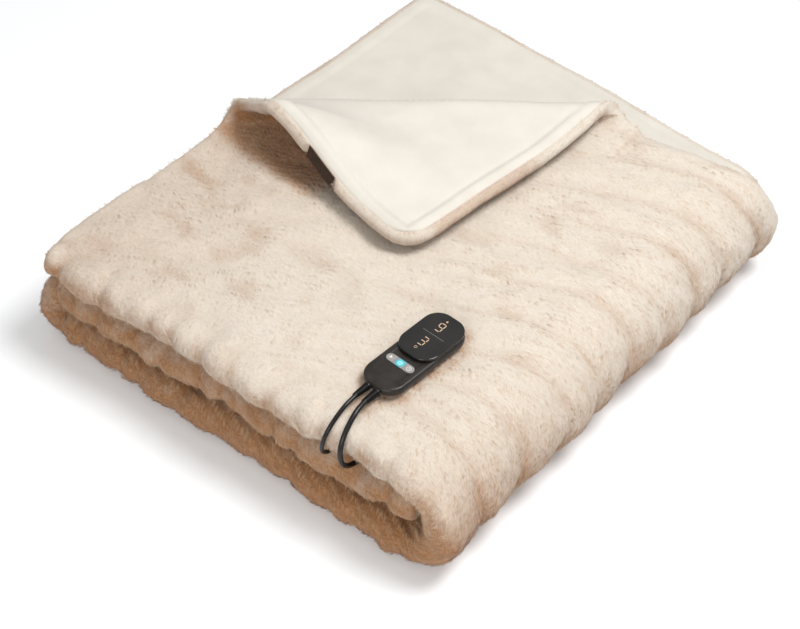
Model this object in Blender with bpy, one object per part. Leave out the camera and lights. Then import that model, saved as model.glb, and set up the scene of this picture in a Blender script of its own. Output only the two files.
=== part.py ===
"""Electric heated throw, folded in half and then in thirds, with its hand controller on top.

Metres, +Z up. +X runs along the front edge, +Y from the front edge to the hems at the back.
The origin is under the middle of the folded pile, on the surface that it rests on.
"""

from math import cos, exp, hypot, pi, radians, sin

import bmesh
import bpy
from mathutils import Vector
from mathutils.geometry import interpolate_bezier

# The folded pile
PILE_LENGTH = 0.637
PILE_DEPTH = 0.705
LEFT = -PILE_LENGTH / 2
RIGHT = PILE_LENGTH / 2
FRONT = -PILE_DEPTH / 2
TOP_LEFT = LEFT + 0.045

# The cloth, from the middle of the half fold outwards
HALF_AIR = 0.0027
FLEECE = 0.0030
SKIN_GAP = 0.0003
FUR = 0.0180
FUR_INSIDE = HALF_AIR + FLEECE + SKIN_GAP
DOUBLE = FUR_INSIDE + FUR
HEM_FUR_SHARE = 0.55
HEM_ROLL = 0.012
CORNER_RADIUS = 0.040
FAR_CORNER_RADIUS = 0.022

# The thirds: heights of the middle of each double layer
LOWER_PITCH = 0.0520
UPPER_PITCH = 0.0580
Z_BOTTOM = DOUBLE
Z_MIDDLE = Z_BOTTOM + LOWER_PITCH
Z_TOP = Z_MIDDLE + UPPER_PITCH
TOP_FUR = Z_TOP + DOUBLE
MIDDLE_FUR = Z_MIDDLE + DOUBLE
INNER_TURN = LOWER_PITCH / 2
OUTER_TURN = (LOWER_PITCH + UPPER_PITCH) / 2
INNER_TURN_X = LEFT + DOUBLE + INNER_TURN
OUTER_TURN_X = RIGHT - DOUBLE - OUTER_TURN
MIDDLE_END_X = RIGHT - 0.068
TURNED_PART = 0.410

# The sections that the cloth is folded into. The half fold and the two hems are given from the
# front edge, where the section starts, and run straight to the next row's values.
SECTIONS = (
    # name, length, half fold, outer hem, inner hem, stations
    ("top", TURNED_PART, 0.000, 0.644, 0.705, 5),
    ("top, right part", OUTER_TURN_X - TOP_LEFT - TURNED_PART, 0.000, 0.644, 0.705, 2),
    ("outer turn", pi / 2 * OUTER_TURN, 0.001, 0.666, 0.705, 4),
    ("outer turn, lower half", pi / 2 * OUTER_TURN, 0.000, 0.712, 0.716, 4),
    ("bottom", OUTER_TURN_X - INNER_TURN_X, 0.000, 0.706, 0.708, 4),
    ("inner turn", pi * INNER_TURN, 0.003, 0.690, 0.686, 6),
    ("middle", MIDDLE_END_X - INNER_TURN_X, 0.008, 0.684, 0.690, 5),
    ("end", 0.0, 0.011, 0.700, 0.704, 0),
)
DEPTH_TAPER = 0.07
SECTION_LENGTHS = [row[1] for row in SECTIONS]
CLOTH_LENGTH = sum(SECTION_LENGTHS)
HALF_TURN_ARC = pi * (HALF_AIR + 0.010)
SIDE_RUN = PILE_DEPTH - DOUBLE
CLOTH_WIDTH = 2 * SIDE_RUN + HALF_TURN_ARC
SIDE_STATIONS = 8
HALF_TURN_STATIONS = 6

# The corner of the upper sheet that is turned back over the pile, fleece side up
TURN_LINE_START = Vector((TOP_LEFT, FRONT + 0.290))
TURN_LINE_END = Vector((TOP_LEFT + 0.400, FRONT + 0.643))
TURN_INSIDE = 0.002
TURN_ALONG = (TURN_LINE_END - TURN_LINE_START).normalized()
TURN_ACROSS = Vector((-TURN_ALONG.y, TURN_ALONG.x))
TURN_AXIS_Z = TOP_FUR + TURN_INSIDE
TURN_NEUTRAL = TURN_AXIS_Z - (Z_TOP + HALF_AIR + 0.010)
TURN_STATIONS = 6
FOLD_PUFF = 0.009
FOLD_PUFF_REACH = 0.045
ARCH_FOOT_LIFT = 0.012
ARCH_FOOT = 0.052
ARCH_FOOT_REACH = 0.017
FLAP_BULGE = 0.016
FLAP_BULGE_START = 0.100
FLAP_BULGE_LENGTH = 0.436
FLAP_BULGE_REACH = 0.060
FLAP_SLIP = 0.004
ARCH_HEIGHT = 0.048
ARCH_REACH = 0.165
ARCH_WIDTH = 0.090
ARCH_CREST = 0.30
HEM_PULL = 0.008
HEM_PULL_REACH = 0.060
ARCH_ACROSS = (0.022, 0.045, 0.075, 0.110, 0.150)
ARCH_ALONG = (0.030, 0.060, 0.120)
FRONT_SAG = 0.006
CORNER_SAG = 0.008

# The blank label on the turned-back corner's left hem
LABEL_START = 0.166
LABEL_LENGTH = 0.047
LABEL_DROP = 0.0125
LABEL_LEAN = 0.0050
LABEL_THICKNESS = 0.0012
LABEL_CLEARANCE = 0.0004
LABEL_STATIONS = 6

# The hand controller, which lies along Y on the pile
CONTROLLER_X = TOP_LEFT + 0.439
CONTROLLER_Y = FRONT + 0.1325
CONTROLLER_TURN = radians(-4)
CONTROLLER_LENGTH = 0.129
CONTROLLER_WIDTH = 0.053
CONTROLLER_CORNER = 0.0215
SEAT_GAP = 0.0004
HOUSING_Z = TOP_FUR + SEAT_GAP
HOUSING_HEIGHT = 0.0125
WINDOW_LENGTH = 0.075
WINDOW_HEIGHT = 0.0050
PART_GAP = 0.0003
KEY_STRIP_LENGTH = 0.0380
KEY_STRIP_WIDTH = 0.0110
KEY_STRIP_Y = 0.042 - CONTROLLER_LENGTH / 2
KEY_POCKET_DEPTH = 0.0030
KEY_CLEARANCE = 0.0003
KEY_PROUD = 0.0008
KEY_TRAVEL = 0.0006
KEY_FLOOR_GAP = KEY_TRAVEL + 0.0002
MIDDLE_KEY_LENGTH = 0.0120

# The leads
CONTROL_LEAD_RADIUS = 0.0025
MAINS_LEAD_RADIUS = 0.0030
RELIEF_LENGTH = 0.021
RELIEF_RADIUS = 0.0046
RELIEF_HEIGHT = 0.0062
RELIEF_ASIDE = 0.0068
LEAD_SPACING = 0.015

# Where the leads run, measured from the top layer's front left corner and the floor: over the
# front edge, into the gap over the middle layer, and on to the connector or down behind the pile.
CONTROL_ROUTE = (
    (0.4270, 0.0432, 0.1646),
    (0.4268, 0.0350, 0.1638),
    (0.4268, 0.0270, 0.1615),
    (0.4266, 0.0175, 0.1570),
    (0.4260, 0.0068, 0.1490),
    (0.4245, -0.0002, 0.1380),
    (0.4225, -0.0020, 0.1255),
    (0.4205, 0.0010, 0.1140),
    (0.4195, 0.0100, 0.1052),
    (0.4190, 0.0220, 0.1008),
    (0.4190, 0.0360, 0.1003),
    (0.4180, 0.0800, 0.1031),
    (0.4120, 0.1600, 0.1031),
    (0.4030, 0.2500, 0.1031),
    (0.3930, 0.3400, 0.1031),
    (0.3840, 0.4300, 0.1031),
    (0.3780, 0.5200, 0.1031),
    (0.3750, 0.5800, 0.1035),
    (0.3750, 0.6120, 0.1037),
)
MAINS_ROUTE = (
    (0.4405, 0.0432, 0.1646),
    (0.4413, 0.0350, 0.1640),
    (0.4425, 0.0270, 0.1618),
    (0.4440, 0.0175, 0.1575),
    (0.4458, 0.0068, 0.1495),
    (0.4474, -0.0008, 0.1380),
    (0.4486, -0.0026, 0.1255),
    (0.4495, 0.0006, 0.1140),
    (0.4500, 0.0100, 0.1053),
    (0.4502, 0.0220, 0.1011),
    (0.4500, 0.0360, 0.1008),
    (0.4490, 0.0800, 0.1036),
    (0.4470, 0.1600, 0.1036),
    (0.4440, 0.2500, 0.1036),
    (0.4410, 0.3400, 0.1036),
    (0.4380, 0.4300, 0.1036),
    (0.4360, 0.5200, 0.1036),
    (0.4350, 0.5900, 0.1036),
    (0.4355, 0.6330, 0.1036),
    (0.4380, 0.6600, 0.1010),
    (0.4410, 0.6790, 0.0880),
    (0.4430, 0.6880, 0.0700),
    (0.4435, 0.6950, 0.0490),
    (0.4420, 0.7070, 0.0270),
    (0.4350, 0.7290, 0.0110),
    (0.4290, 0.7520, 0.0050),
    (0.4180, 0.7680, 0.0035),
    (0.4060, 0.7755, 0.0034),
    (0.3960, 0.7785, 0.0034),
    (0.3858, 0.7793, 0.0034),
)
PLUG_ROUTE = (
    (0.3822, 0.7793, 0.0091),
    (0.3660, 0.7792, 0.0093),
    (0.3450, 0.7785, 0.0088),
    (0.3270, 0.7776, 0.0084),
    (0.3120, 0.7765, 0.0080),
    (0.3000, 0.7740, 0.0075),
    (0.2880, 0.7727, 0.0073),
    (0.2760, 0.7725, 0.0073),
)
COIL_CENTRE = Vector((TOP_LEFT + 0.384, FRONT + 0.734, 0.0003))
COIL_INNER_RADIUS = 0.024
COIL_OUTER_RADIUS = 0.042
COIL_HEIGHT = 0.0122
PLUG_RELIEF_LENGTH = 0.022
PLUG_LENGTH = 0.035
PLUG_WIDTH = 0.034
PLUG_NOSE_WIDTH = 0.026
PLUG_HEIGHT = 0.0136
PIN_LENGTH = 0.019
PIN_RADIUS = 0.0020
PIN_SPACING = 0.0186
CONNECTOR_LENGTH = 0.040
CONNECTOR_WIDTH = 0.026
CONNECTOR_HEIGHT = 0.0072


def material(name, colour, roughness, metallic=0.0):
    made = bpy.data.materials.new(name)
    made.use_nodes = True
    shader = made.node_tree.nodes["Principled BSDF"]
    shader.inputs["Base Color"].default_value = (*colour, 1.0)
    shader.inputs["Roughness"].default_value = roughness
    shader.inputs["Metallic"].default_value = metallic
    return made


def add_object(name, mesh, finish, smooth_angle=35):
    mesh.materials.append(finish)
    mesh.shade_smooth()
    mesh.set_sharp_from_angle(angle=radians(smooth_angle))
    made = bpy.data.objects.new(name, mesh)
    bpy.context.scene.collection.objects.link(made)
    return made


def mesh_of(name, shape):
    bmesh.ops.recalc_face_normals(shape, faces=shape.faces)
    mesh = bpy.data.meshes.new(name)
    shape.to_mesh(mesh)
    shape.free()
    return mesh


def smooth_step(value):
    value = min(max(value, 0.0), 1.0)
    return value * value * (3 - 2 * value)


# ---------------------------------------------------------------- the folds


def section_at(along):
    """The section that this length of cloth lies in, and the length into it."""
    for index, length in enumerate(SECTION_LENGTHS):
        if along <= length or index == len(SECTIONS) - 2:
            return index, along
        along -= length


def thirds_fold(along):
    """Place and outward normal, as (x, z), of the middle of the double layer."""
    index, into = section_at(along)
    name = SECTIONS[index][0]
    if name == "top":
        return Vector((TOP_LEFT + into, Z_TOP)), Vector((0, 1))
    if name == "top, right part":
        return Vector((TOP_LEFT + TURNED_PART + into, Z_TOP)), Vector((0, 1))
    if name == "bottom":
        return Vector((OUTER_TURN_X - into, Z_BOTTOM)), Vector((0, -1))
    if name == "middle":
        return Vector((INNER_TURN_X + into, Z_MIDDLE)), Vector((0, 1))
    if name == "inner turn":
        centre, radius, angle = Vector((INNER_TURN_X, Z_BOTTOM + INNER_TURN)), INNER_TURN, -pi / 2
    else:
        centre, radius = Vector((OUTER_TURN_X, Z_BOTTOM + OUTER_TURN)), OUTER_TURN
        angle = pi / 2 if name == "outer turn" else 0
    angle -= into / radius
    normal = Vector((cos(angle), sin(angle)))
    return centre + normal * radius, normal


def section_value(along, column):
    """A column of SECTIONS at this length of the cloth."""
    index, into = section_at(along)
    here, following = SECTIONS[index][column], SECTIONS[index + 1][column]
    return here + (following - here) * into / SECTION_LENGTHS[index]


def half_fold(along, across, offset):
    """(y, height over the double layer's middle, is it the outer sheet)."""
    fold_y = FRONT + section_value(along, 2) + DOUBLE
    reach = HALF_AIR + offset
    if across <= SIDE_RUN:
        hem_y = FRONT + section_value(along, 3)
        return fold_y + (hem_y - fold_y) * (SIDE_RUN - across) / SIDE_RUN, reach, True
    if across >= SIDE_RUN + HALF_TURN_ARC:
        hem_y = FRONT + section_value(along, 4)
        run = across - SIDE_RUN - HALF_TURN_ARC
        return fold_y + (hem_y - fold_y) * run / SIDE_RUN, -reach, False
    angle = pi * (across - SIDE_RUN) / HALF_TURN_ARC
    return fold_y - reach * sin(angle), reach * cos(angle), False


def turn_back(place, offset):
    """Rolls what lies beyond the turn line up and back over the pile, with an arch by the left hem."""
    beyond = (place.xy - TURN_LINE_START).dot(TURN_ACROSS)
    near_hem = exp(-(((place.x - TOP_LEFT) / ARCH_WIDTH) ** 2))
    from_crest = beyond - pi * TURN_NEUTRAL / 2
    pull = HEM_PULL * near_hem * exp(-((from_crest / HEM_PULL_REACH) ** 2))
    puff = FOLD_PUFF * exp(-((from_crest / FOLD_PUFF_REACH) ** 2))
    foot_lift = ARCH_FOOT_LIFT * near_hem * exp(-(((beyond - ARCH_FOOT) / ARCH_FOOT_REACH) ** 2))
    lift = Vector((pull, 0, puff + foot_lift))
    if beyond <= 0:
        return place + lift
    foot = place.xy - TURN_ACROSS * beyond
    radius = TURN_AXIS_Z - (Z_TOP + HALF_AIR + offset)
    angle = min(beyond / TURN_NEUTRAL, pi)
    past = max(beyond - pi * TURN_NEUTRAL, 0.0)
    sway = (place.xy - TURN_LINE_START).dot(TURN_ALONG) - FLAP_BULGE_START
    bulge = FLAP_BULGE * sin(pi * min(max(sway / FLAP_BULGE_LENGTH, 0.0), 1.0))
    spread = smooth_step(past / FLAP_BULGE_REACH)
    flat = foot + TURN_ACROSS * (radius * sin(angle) - past - bulge * spread) - TURN_ALONG * FLAP_SLIP * spread
    share = past / ARCH_REACH
    rise = smooth_step(share / ARCH_CREST) * (1 - smooth_step((share - ARCH_CREST) / (1 - ARCH_CREST)))
    height = TURN_AXIS_Z - radius * cos(angle) + ARCH_HEIGHT * near_hem * rise
    return Vector((flat.x, flat.y, height)) + lift


def unevenness(place):
    """How the pile differs from a square one: it tapers, its sides wander, its front sags and its top rolls."""
    x, y, z = place
    near_front = smooth_step((FRONT + 0.20 - y) / 0.20)
    near_left = smooth_step((LEFT + 0.20 - x) / 0.20)
    near_right = smooth_step((x - RIGHT + 0.20) / 0.20)
    high = smooth_step((z - MIDDLE_FUR) / (Z_TOP - MIDDLE_FUR))
    clear = smooth_step((hypot(x - CONTROLLER_X, y - CONTROLLER_Y) - 0.08) / 0.10)
    shift_y = 0.0030 * sin(24 * x + 30 * z) * near_front
    shift_y -= DEPTH_TAPER * (y - FRONT) * (x - TOP_LEFT) / (OUTER_TURN_X - TOP_LEFT)
    shift_x = 0.0030 * sin(21 * y + 25 * z + 1.0) * near_left
    shift_x -= 0.0035 * (0.5 + 0.5 * sin(27 * y + 18 * z)) * near_right
    shift_z = 0.0022 * sin(23 * x + 0.7) * sin(19 * y + 0.4) * high * clear
    shift_z -= FRONT_SAG * smooth_step(1 - (y - FRONT) / 0.07) * smooth_step(z / MIDDLE_FUR)
    from_corner = hypot(x - TOP_LEFT, y + FRONT)
    shift_z -= CORNER_SAG * smooth_step(1 - from_corner / 0.16) * high
    return Vector((shift_x, shift_y, shift_z))


def place_cloth(along, across, offset):
    """The point of the folded cloth at this place of the flat one, this far out from the fleece's face."""
    middle, normal = thirds_fold(along)
    y, height, outer_sheet = half_fold(along, across, offset)
    place = Vector((middle.x + normal.x * height, y, middle.y + normal.y * height))
    if outer_sheet and along < SECTION_LENGTHS[0]:
        place = turn_back(place, offset)
    return place + unevenness(place)


# ---------------------------------------------------------------- the cloth


def fold_stations():
    """The lengths along the cloth at which it is creased: a few on each run, more on each turn."""
    stations, start = [HEM_ROLL, CLOTH_LENGTH - HEM_ROLL], 0.0
    for row in SECTIONS[:-1]:
        stations += [start + row[1] * step / row[5] for step in range(1, row[5] + 1)]
        start += row[1]
    return [station for station in stations if HEM_ROLL <= station <= CLOTH_LENGTH - HEM_ROLL]


def half_fold_stations():
    run = [SIDE_RUN * step / SIDE_STATIONS for step in range(1, SIDE_STATIONS + 1)]
    turn = [SIDE_RUN + HALF_TURN_ARC * step / HALF_TURN_STATIONS for step in range(1, HALF_TURN_STATIONS)]
    return [HEM_ROLL, *run, *turn, *(CLOTH_WIDTH - value for value in run), CLOTH_WIDTH - HEM_ROLL]


def flat_of(point):
    """Where a point of the upper sheet, as (x, y), lies on the flat cloth."""
    fold_y = FRONT + DOUBLE
    hem_y = FRONT + SECTIONS[0][3]
    return Vector((point.x - TOP_LEFT, SIDE_RUN * (1 - (point.y - fold_y) / (hem_y - fold_y)), 0))


def crease(shape, point, normal, faces=None, drop_outside=False):
    faces = list(shape.faces) if faces is None else faces
    parts = set(faces)
    for face in faces:
        parts.update(face.edges)
        parts.update(face.verts)
    bmesh.ops.bisect_plane(
        shape, geom=list(parts), dist=1e-6, plane_co=point, plane_no=normal, clear_outer=drop_outside
    )


def flat_pattern():
    """The flat cloth, creased along every fold line, with rounded corners, in triangles."""
    shape = bmesh.new()
    corners = ((0, 0), (CLOTH_LENGTH, 0), (CLOTH_LENGTH, CLOTH_WIDTH), (0, CLOTH_WIDTH))
    shape.faces.new([shape.verts.new((x, y, 0)) for x, y in corners])
    for station in fold_stations():
        crease(shape, (station, 0, 0), (1, 0, 0))
    for station in half_fold_stations():
        crease(shape, (0, station, 0), (0, 1, 0))
    crease_turned_corner(shape)
    for x, y in corners:
        inward = Vector((1 if x == 0 else -1, 1 if y == 0 else -1, 0))
        radius = FAR_CORNER_RADIUS if x == 0 and y > 0 else CORNER_RADIUS
        centre = Vector((x, y, 0)) + inward * radius
        for angle in (22.5, 45, 67.5):
            out = Vector((-inward.x * cos(radians(angle)), -inward.y * sin(radians(angle)), 0))
            crease(shape, centre + out * radius, out, drop_outside=True)
    bmesh.ops.triangulate(shape, faces=shape.faces)
    return shape


def crease_turned_corner(shape):
    """Creases the turned-back corner around its roll and over its arch."""
    turn_length = pi * TURN_NEUTRAL
    shifts = [turn_length * step / TURN_STATIONS for step in range(TURN_STATIONS + 1)]
    shifts += [turn_length + past for past in ARCH_ACROSS]
    for shift in shifts:
        start = flat_of(TURN_LINE_START + TURN_ACROSS * shift)
        direction = flat_of(TURN_LINE_END + TURN_ACROSS * shift) - start
        crease(shape, start, (-direction.y, direction.x, 0), corner_faces(shape))
    for station in ARCH_ALONG:
        crease(shape, (station, 0, 0), (1, 0, 0), corner_faces(shape))


def corner_faces(shape):
    return [face for face in shape.faces if in_turned_corner(face.calc_center_median())]


def in_turned_corner(point):
    lowest = flat_of(Vector((TOP_LEFT, TURN_LINE_START.y - 0.03)))
    return point.x < SECTION_LENGTHS[0] - 0.02 and point.y < lowest.y


def cloth_panel(name, inside, outside, hem_share, finish):
    """One folded layer of cloth between two offsets; its edges are hem_share as thick as the rest."""
    flat = flat_pattern()
    shape = bmesh.new()
    inner, outer = {}, {}
    for vertex in flat.verts:
        along, across = vertex.co.xy
        edge_outside = inside + (outside - inside) * (hem_share if vertex.is_boundary else 1.0)
        inner[vertex] = shape.verts.new(place_cloth(along, across, inside))
        outer[vertex] = shape.verts.new(place_cloth(along, across, edge_outside))
    for face in flat.faces:
        shape.faces.new([outer[vertex] for vertex in face.verts])
        shape.faces.new([inner[vertex] for vertex in reversed(face.verts)])
    for edge in flat.edges:
        if edge.is_boundary:
            first, second = edge.verts
            shape.faces.new((inner[first], inner[second], outer[second], outer[first]))
    flat.free()
    return add_object(name, mesh_of(name, shape), finish)


def add_cloth():
    fur = material("fur", (0.83, 0.73, 0.62), 0.9)
    fleece = material("fleece", (0.88, 0.83, 0.75), 0.95)
    cloth_panel("fleece_back", 0.0, FLEECE, 1.0, fleece)
    cloth_panel("fur_face", FLEECE + SKIN_GAP, FLEECE + SKIN_GAP + FUR, HEM_FUR_SHARE, fur)


# ---------------------------------------------------------------- the label


def add_label():
    """A blank woven label that hangs from the turned-back corner's left hem."""
    shape = bmesh.new()
    rings = []
    tip = flat_of(TURN_LINE_START)
    for step in range(LABEL_STATIONS + 1):
        across = tip.y - pi * TURN_NEUTRAL - LABEL_START - LABEL_LENGTH * step / LABEL_STATIONS
        hem = place_cloth(0.0, across, FLEECE * 0.5)
        away = hem - place_cloth(0.004, across, FLEECE * 0.5)
        away.z = 0
        away.normalize()
        top = hem + away * LABEL_CLEARANCE
        foot = top + away * LABEL_LEAN - Vector((0, 0, LABEL_DROP))
        thick = away * LABEL_THICKNESS
        rings.append([shape.verts.new(point) for point in (top, top + thick, foot + thick, foot)])
    skin_rings(shape, rings)
    finish = material("label", (0.06, 0.05, 0.045), 0.8)
    return add_object("label", mesh_of("label", shape), finish)


def skin_rings(shape, rings):
    """Joins closed rings of as many points each into one body, with flat ends."""
    count = len(rings[0])
    for lower, upper in zip(rings, rings[1:]):
        for index in range(count):
            following = (index + 1) % count
            shape.faces.new((lower[index], lower[following], upper[following], upper[index]))
    shape.faces.new(list(reversed(rings[0])))
    shape.faces.new(rings[-1])


# ---------------------------------------------------------------- the controller


def rounded_outline(width, length, radius, steps=6):
    """Points round a rectangle with round corners, centred on the origin."""
    points = []
    for quarter, (side_x, side_y) in enumerate(((1, 1), (-1, 1), (-1, -1), (1, -1))):
        centre = Vector((side_x * (width / 2 - radius), side_y * (length / 2 - radius)))
        for step in range(steps + 1):
            angle = (quarter + step / steps) * pi / 2
            points.append(centre + Vector((cos(angle), sin(angle))) * radius)
    return points


def lofted_slab(width, length, radius, levels, centre, steps=6):
    """A slab of rounded rectangles: levels lists (height, how far the outline is drawn in)."""
    shape = bmesh.new()
    rings = []
    for height, inset in levels:
        outline = rounded_outline(width - 2 * inset, length - 2 * inset, radius - inset, steps)
        rings.append([shape.verts.new((centre.x + p.x, centre.y + p.y, centre.z + height)) for p in outline])
    skin_rings(shape, rings)
    return shape


def housing_levels():
    top = HOUSING_HEIGHT
    return ((0, 0.006), (0.0015, 0.0028), (0.0045, 0.0004), (0.0070, 0), (top - 0.0018, 0.0004), (top, 0.0030))


def key_outlines():
    """The three keys of the strip, left to right: name, outline as (x, y) about the strip's middle."""
    half = KEY_STRIP_LENGTH / 2
    radius = KEY_STRIP_WIDTH / 2 - KEY_CLEARANCE
    split = MIDDLE_KEY_LENGTH / 2
    near = split + KEY_CLEARANCE
    far = half - KEY_STRIP_WIDTH / 2
    arc = [
        (far + radius * cos(radians(angle)), radius * sin(radians(angle))) for angle in range(-90, 91, 20)
    ]
    right = [(near, -radius), *arc, (near, radius)]
    left = [(-x, -y) for x, y in right]
    middle = [(-split, -radius), (split, -radius), (split, radius), (-split, radius)]
    return (("key_left", left), ("key_middle", middle), ("key_right", right))


def pocket_cutter():
    """The pill-shaped pocket that the key strip sits in."""
    depth_extra = 0.002
    centre = Vector((0, KEY_STRIP_Y, HOUSING_HEIGHT - KEY_POCKET_DEPTH))
    shape = lofted_slab(
        KEY_STRIP_LENGTH,
        KEY_STRIP_WIDTH,
        KEY_STRIP_WIDTH / 2 - 0.0001,
        ((0, 0), (KEY_POCKET_DEPTH + depth_extra, 0)),
        centre,
    )
    mesh = mesh_of("pocket_cutter", shape)
    cutter = bpy.data.objects.new("pocket_cutter", mesh)
    bpy.context.scene.collection.objects.link(cutter)
    cutter.hide_render = True
    cutter.display_type = "WIRE"
    return cutter


def add_controller():
    """The controller's pieces, built about the middle of its underside and then put in place."""
    rubber = material("relief_rubber", (0.03, 0.03, 0.03), 0.4)
    pieces = [*add_housing(), add_window(), *add_keys(), *add_reliefs(rubber)]
    stand = bpy.data.objects.new("controller_place", None)
    bpy.context.scene.collection.objects.link(stand)
    stand.location = (CONTROLLER_X, CONTROLLER_Y, HOUSING_Z)
    stand.rotation_euler.z = CONTROLLER_TURN
    for piece in pieces:
        piece.parent = stand


def add_housing():
    dark = material("controller_shell", (0.035, 0.032, 0.030), 0.45)
    size = (CONTROLLER_WIDTH, CONTROLLER_LENGTH, CONTROLLER_CORNER)
    shape = lofted_slab(*size, housing_levels(), Vector((0, 0, 0)))
    housing = add_object("controller_housing", mesh_of("controller_housing", shape), dark)
    cut = housing.modifiers.new("key pocket", "BOOLEAN")
    cut.operation = "DIFFERENCE"
    cut.object = pocket_cutter()
    return housing, cut.object


def add_window():
    """The raised display window over the housing's upper end."""
    gloss = material("display_window", (0.02, 0.02, 0.02), 0.12)
    top = WINDOW_HEIGHT
    levels = ((0, 0.0034), (0.0012, 0.0014), (top - 0.0012, 0.0008), (top, 0.0022))
    middle_y = (CONTROLLER_LENGTH - WINDOW_LENGTH) / 2
    centre = Vector((0, middle_y, HOUSING_HEIGHT + PART_GAP))
    shape = lofted_slab(CONTROLLER_WIDTH, WINDOW_LENGTH, CONTROLLER_CORNER - 0.001, levels, centre)
    return add_object("display_window", mesh_of("display_window", shape), gloss)


def add_keys():
    """Three push keys that fill the pill-shaped pocket and slide straight down into it."""
    grey = material("keys", (0.30, 0.30, 0.30), 0.5)
    bottom = HOUSING_HEIGHT - KEY_POCKET_DEPTH + KEY_FLOOR_GAP
    top = HOUSING_HEIGHT + KEY_PROUD
    keys = []
    for name, outline in key_outlines():
        shape = bmesh.new()
        rings = [
            [shape.verts.new((x, KEY_STRIP_Y + y, height)) for x, y in outline] for height in (bottom, top)
        ]
        skin_rings(shape, rings)
        keys.append(add_object(name, mesh_of(name, shape), grey))
    return keys


# ---------------------------------------------------------------- the leads


def turned_solid(name, profile, start, direction, finish, sides=16):
    """A closed body of revolution: profile lists (distance along, radius)."""
    side = direction.cross(Vector((0, 0, 1))).normalized()
    up = side.cross(direction)
    shape = bmesh.new()
    rings = []
    for distance, radius in profile:
        ring = []
        for step in range(sides):
            angle = 2 * pi * step / sides
            out = side * cos(angle) + up * sin(angle)
            ring.append(shape.verts.new(start + direction * distance + out * radius))
        rings.append(ring)
    skin_rings(shape, rings)
    return add_object(name, mesh_of(name, shape), finish)


def relief_profile(length, radius, end_radius):
    return ((0, radius), (length * 0.3, radius), (length, end_radius))


def add_reliefs(rubber):
    root_y = -CONTROLLER_LENGTH / 2 - PART_GAP
    reliefs = (
        ("relief_control", -RELIEF_ASIDE, CONTROL_LEAD_RADIUS),
        ("relief_mains", RELIEF_ASIDE, MAINS_LEAD_RADIUS),
    )
    made = []
    for name, aside, lead_radius in reliefs:
        profile = relief_profile(RELIEF_LENGTH, RELIEF_RADIUS, lead_radius + 0.0008)
        root = Vector((aside, root_y, RELIEF_HEIGHT))
        made.append(turned_solid(name, profile, root, Vector((0, -1, 0)), rubber))
    return made


def route_point(point):
    return Vector((TOP_LEFT, FRONT, 0)) + Vector(point)


def smooth_route(route, spacing):
    """Evenly spaced points of a smooth curve through the route's points."""
    points = [route_point(point) for point in route]
    fine = []
    for index in range(len(points) - 1):
        before, after = points[max(index - 1, 0)], points[min(index + 2, len(points) - 1)]
        start, end = points[index], points[index + 1]
        reach = (end - start).length / 3
        leave = (end - before).normalized() * reach
        arrive = (after - start).normalized() * reach
        fine += interpolate_bezier(start, start + leave, end - arrive, end, 17)[:-1]
    fine.append(points[-1])
    return respaced(fine, spacing)


def respaced(fine, spacing):
    lengths = [0.0]
    for first, second in zip(fine, fine[1:]):
        lengths.append(lengths[-1] + (second - first).length)
    count = round(lengths[-1] / spacing)
    spaced, index = [], 0
    for step in range(count + 1):
        wanted = lengths[-1] * step / count
        while index < len(lengths) - 2 and lengths[index + 1] < wanted:
            index += 1
        share = (wanted - lengths[index]) / (lengths[index + 1] - lengths[index])
        spaced.append(fine[index].lerp(fine[index + 1], share))
    return spaced


def add_lead(name, route, radius, rubber):
    """A round lead along its route."""
    curve = bpy.data.curves.new(name, "CURVE")
    curve.dimensions = "3D"
    curve.bevel_depth = radius
    curve.bevel_resolution = 2
    curve.use_fill_caps = True
    points = smooth_route(route, LEAD_SPACING)
    spline = curve.splines.new("POLY")
    spline.points.add(len(points) - 1)
    for target, point in zip(spline.points, points):
        target.co = (*point, 1.0)
    curve.materials.append(rubber)
    made = bpy.data.objects.new(name, curve)
    bpy.context.scene.collection.objects.link(made)


def add_coil(rubber):
    """The outer shape of the wound part of the mains lead, which lies on the floor."""
    edge = 0.002
    section = (
        (COIL_INNER_RADIUS, edge),
        (COIL_INNER_RADIUS + edge, 0),
        (COIL_OUTER_RADIUS - edge, 0),
        (COIL_OUTER_RADIUS, edge),
        (COIL_OUTER_RADIUS, COIL_HEIGHT - edge),
        (COIL_OUTER_RADIUS - edge, COIL_HEIGHT),
        (COIL_INNER_RADIUS + edge, COIL_HEIGHT),
        (COIL_INNER_RADIUS, COIL_HEIGHT - edge),
    )
    shape = bmesh.new()
    verts = [shape.verts.new(COIL_CENTRE + Vector((radius, 0, height))) for radius, height in section]
    edges = [shape.edges.new((verts[i - 1], verts[i])) for i in range(len(verts))]
    bmesh.ops.spin(
        shape, geom=verts + edges, cent=COIL_CENTRE, axis=(0, 0, 1), angle=2 * pi, steps=32, use_merge=True
    )
    add_object("mains_coil", mesh_of("mains_coil", shape), rubber)


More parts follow.
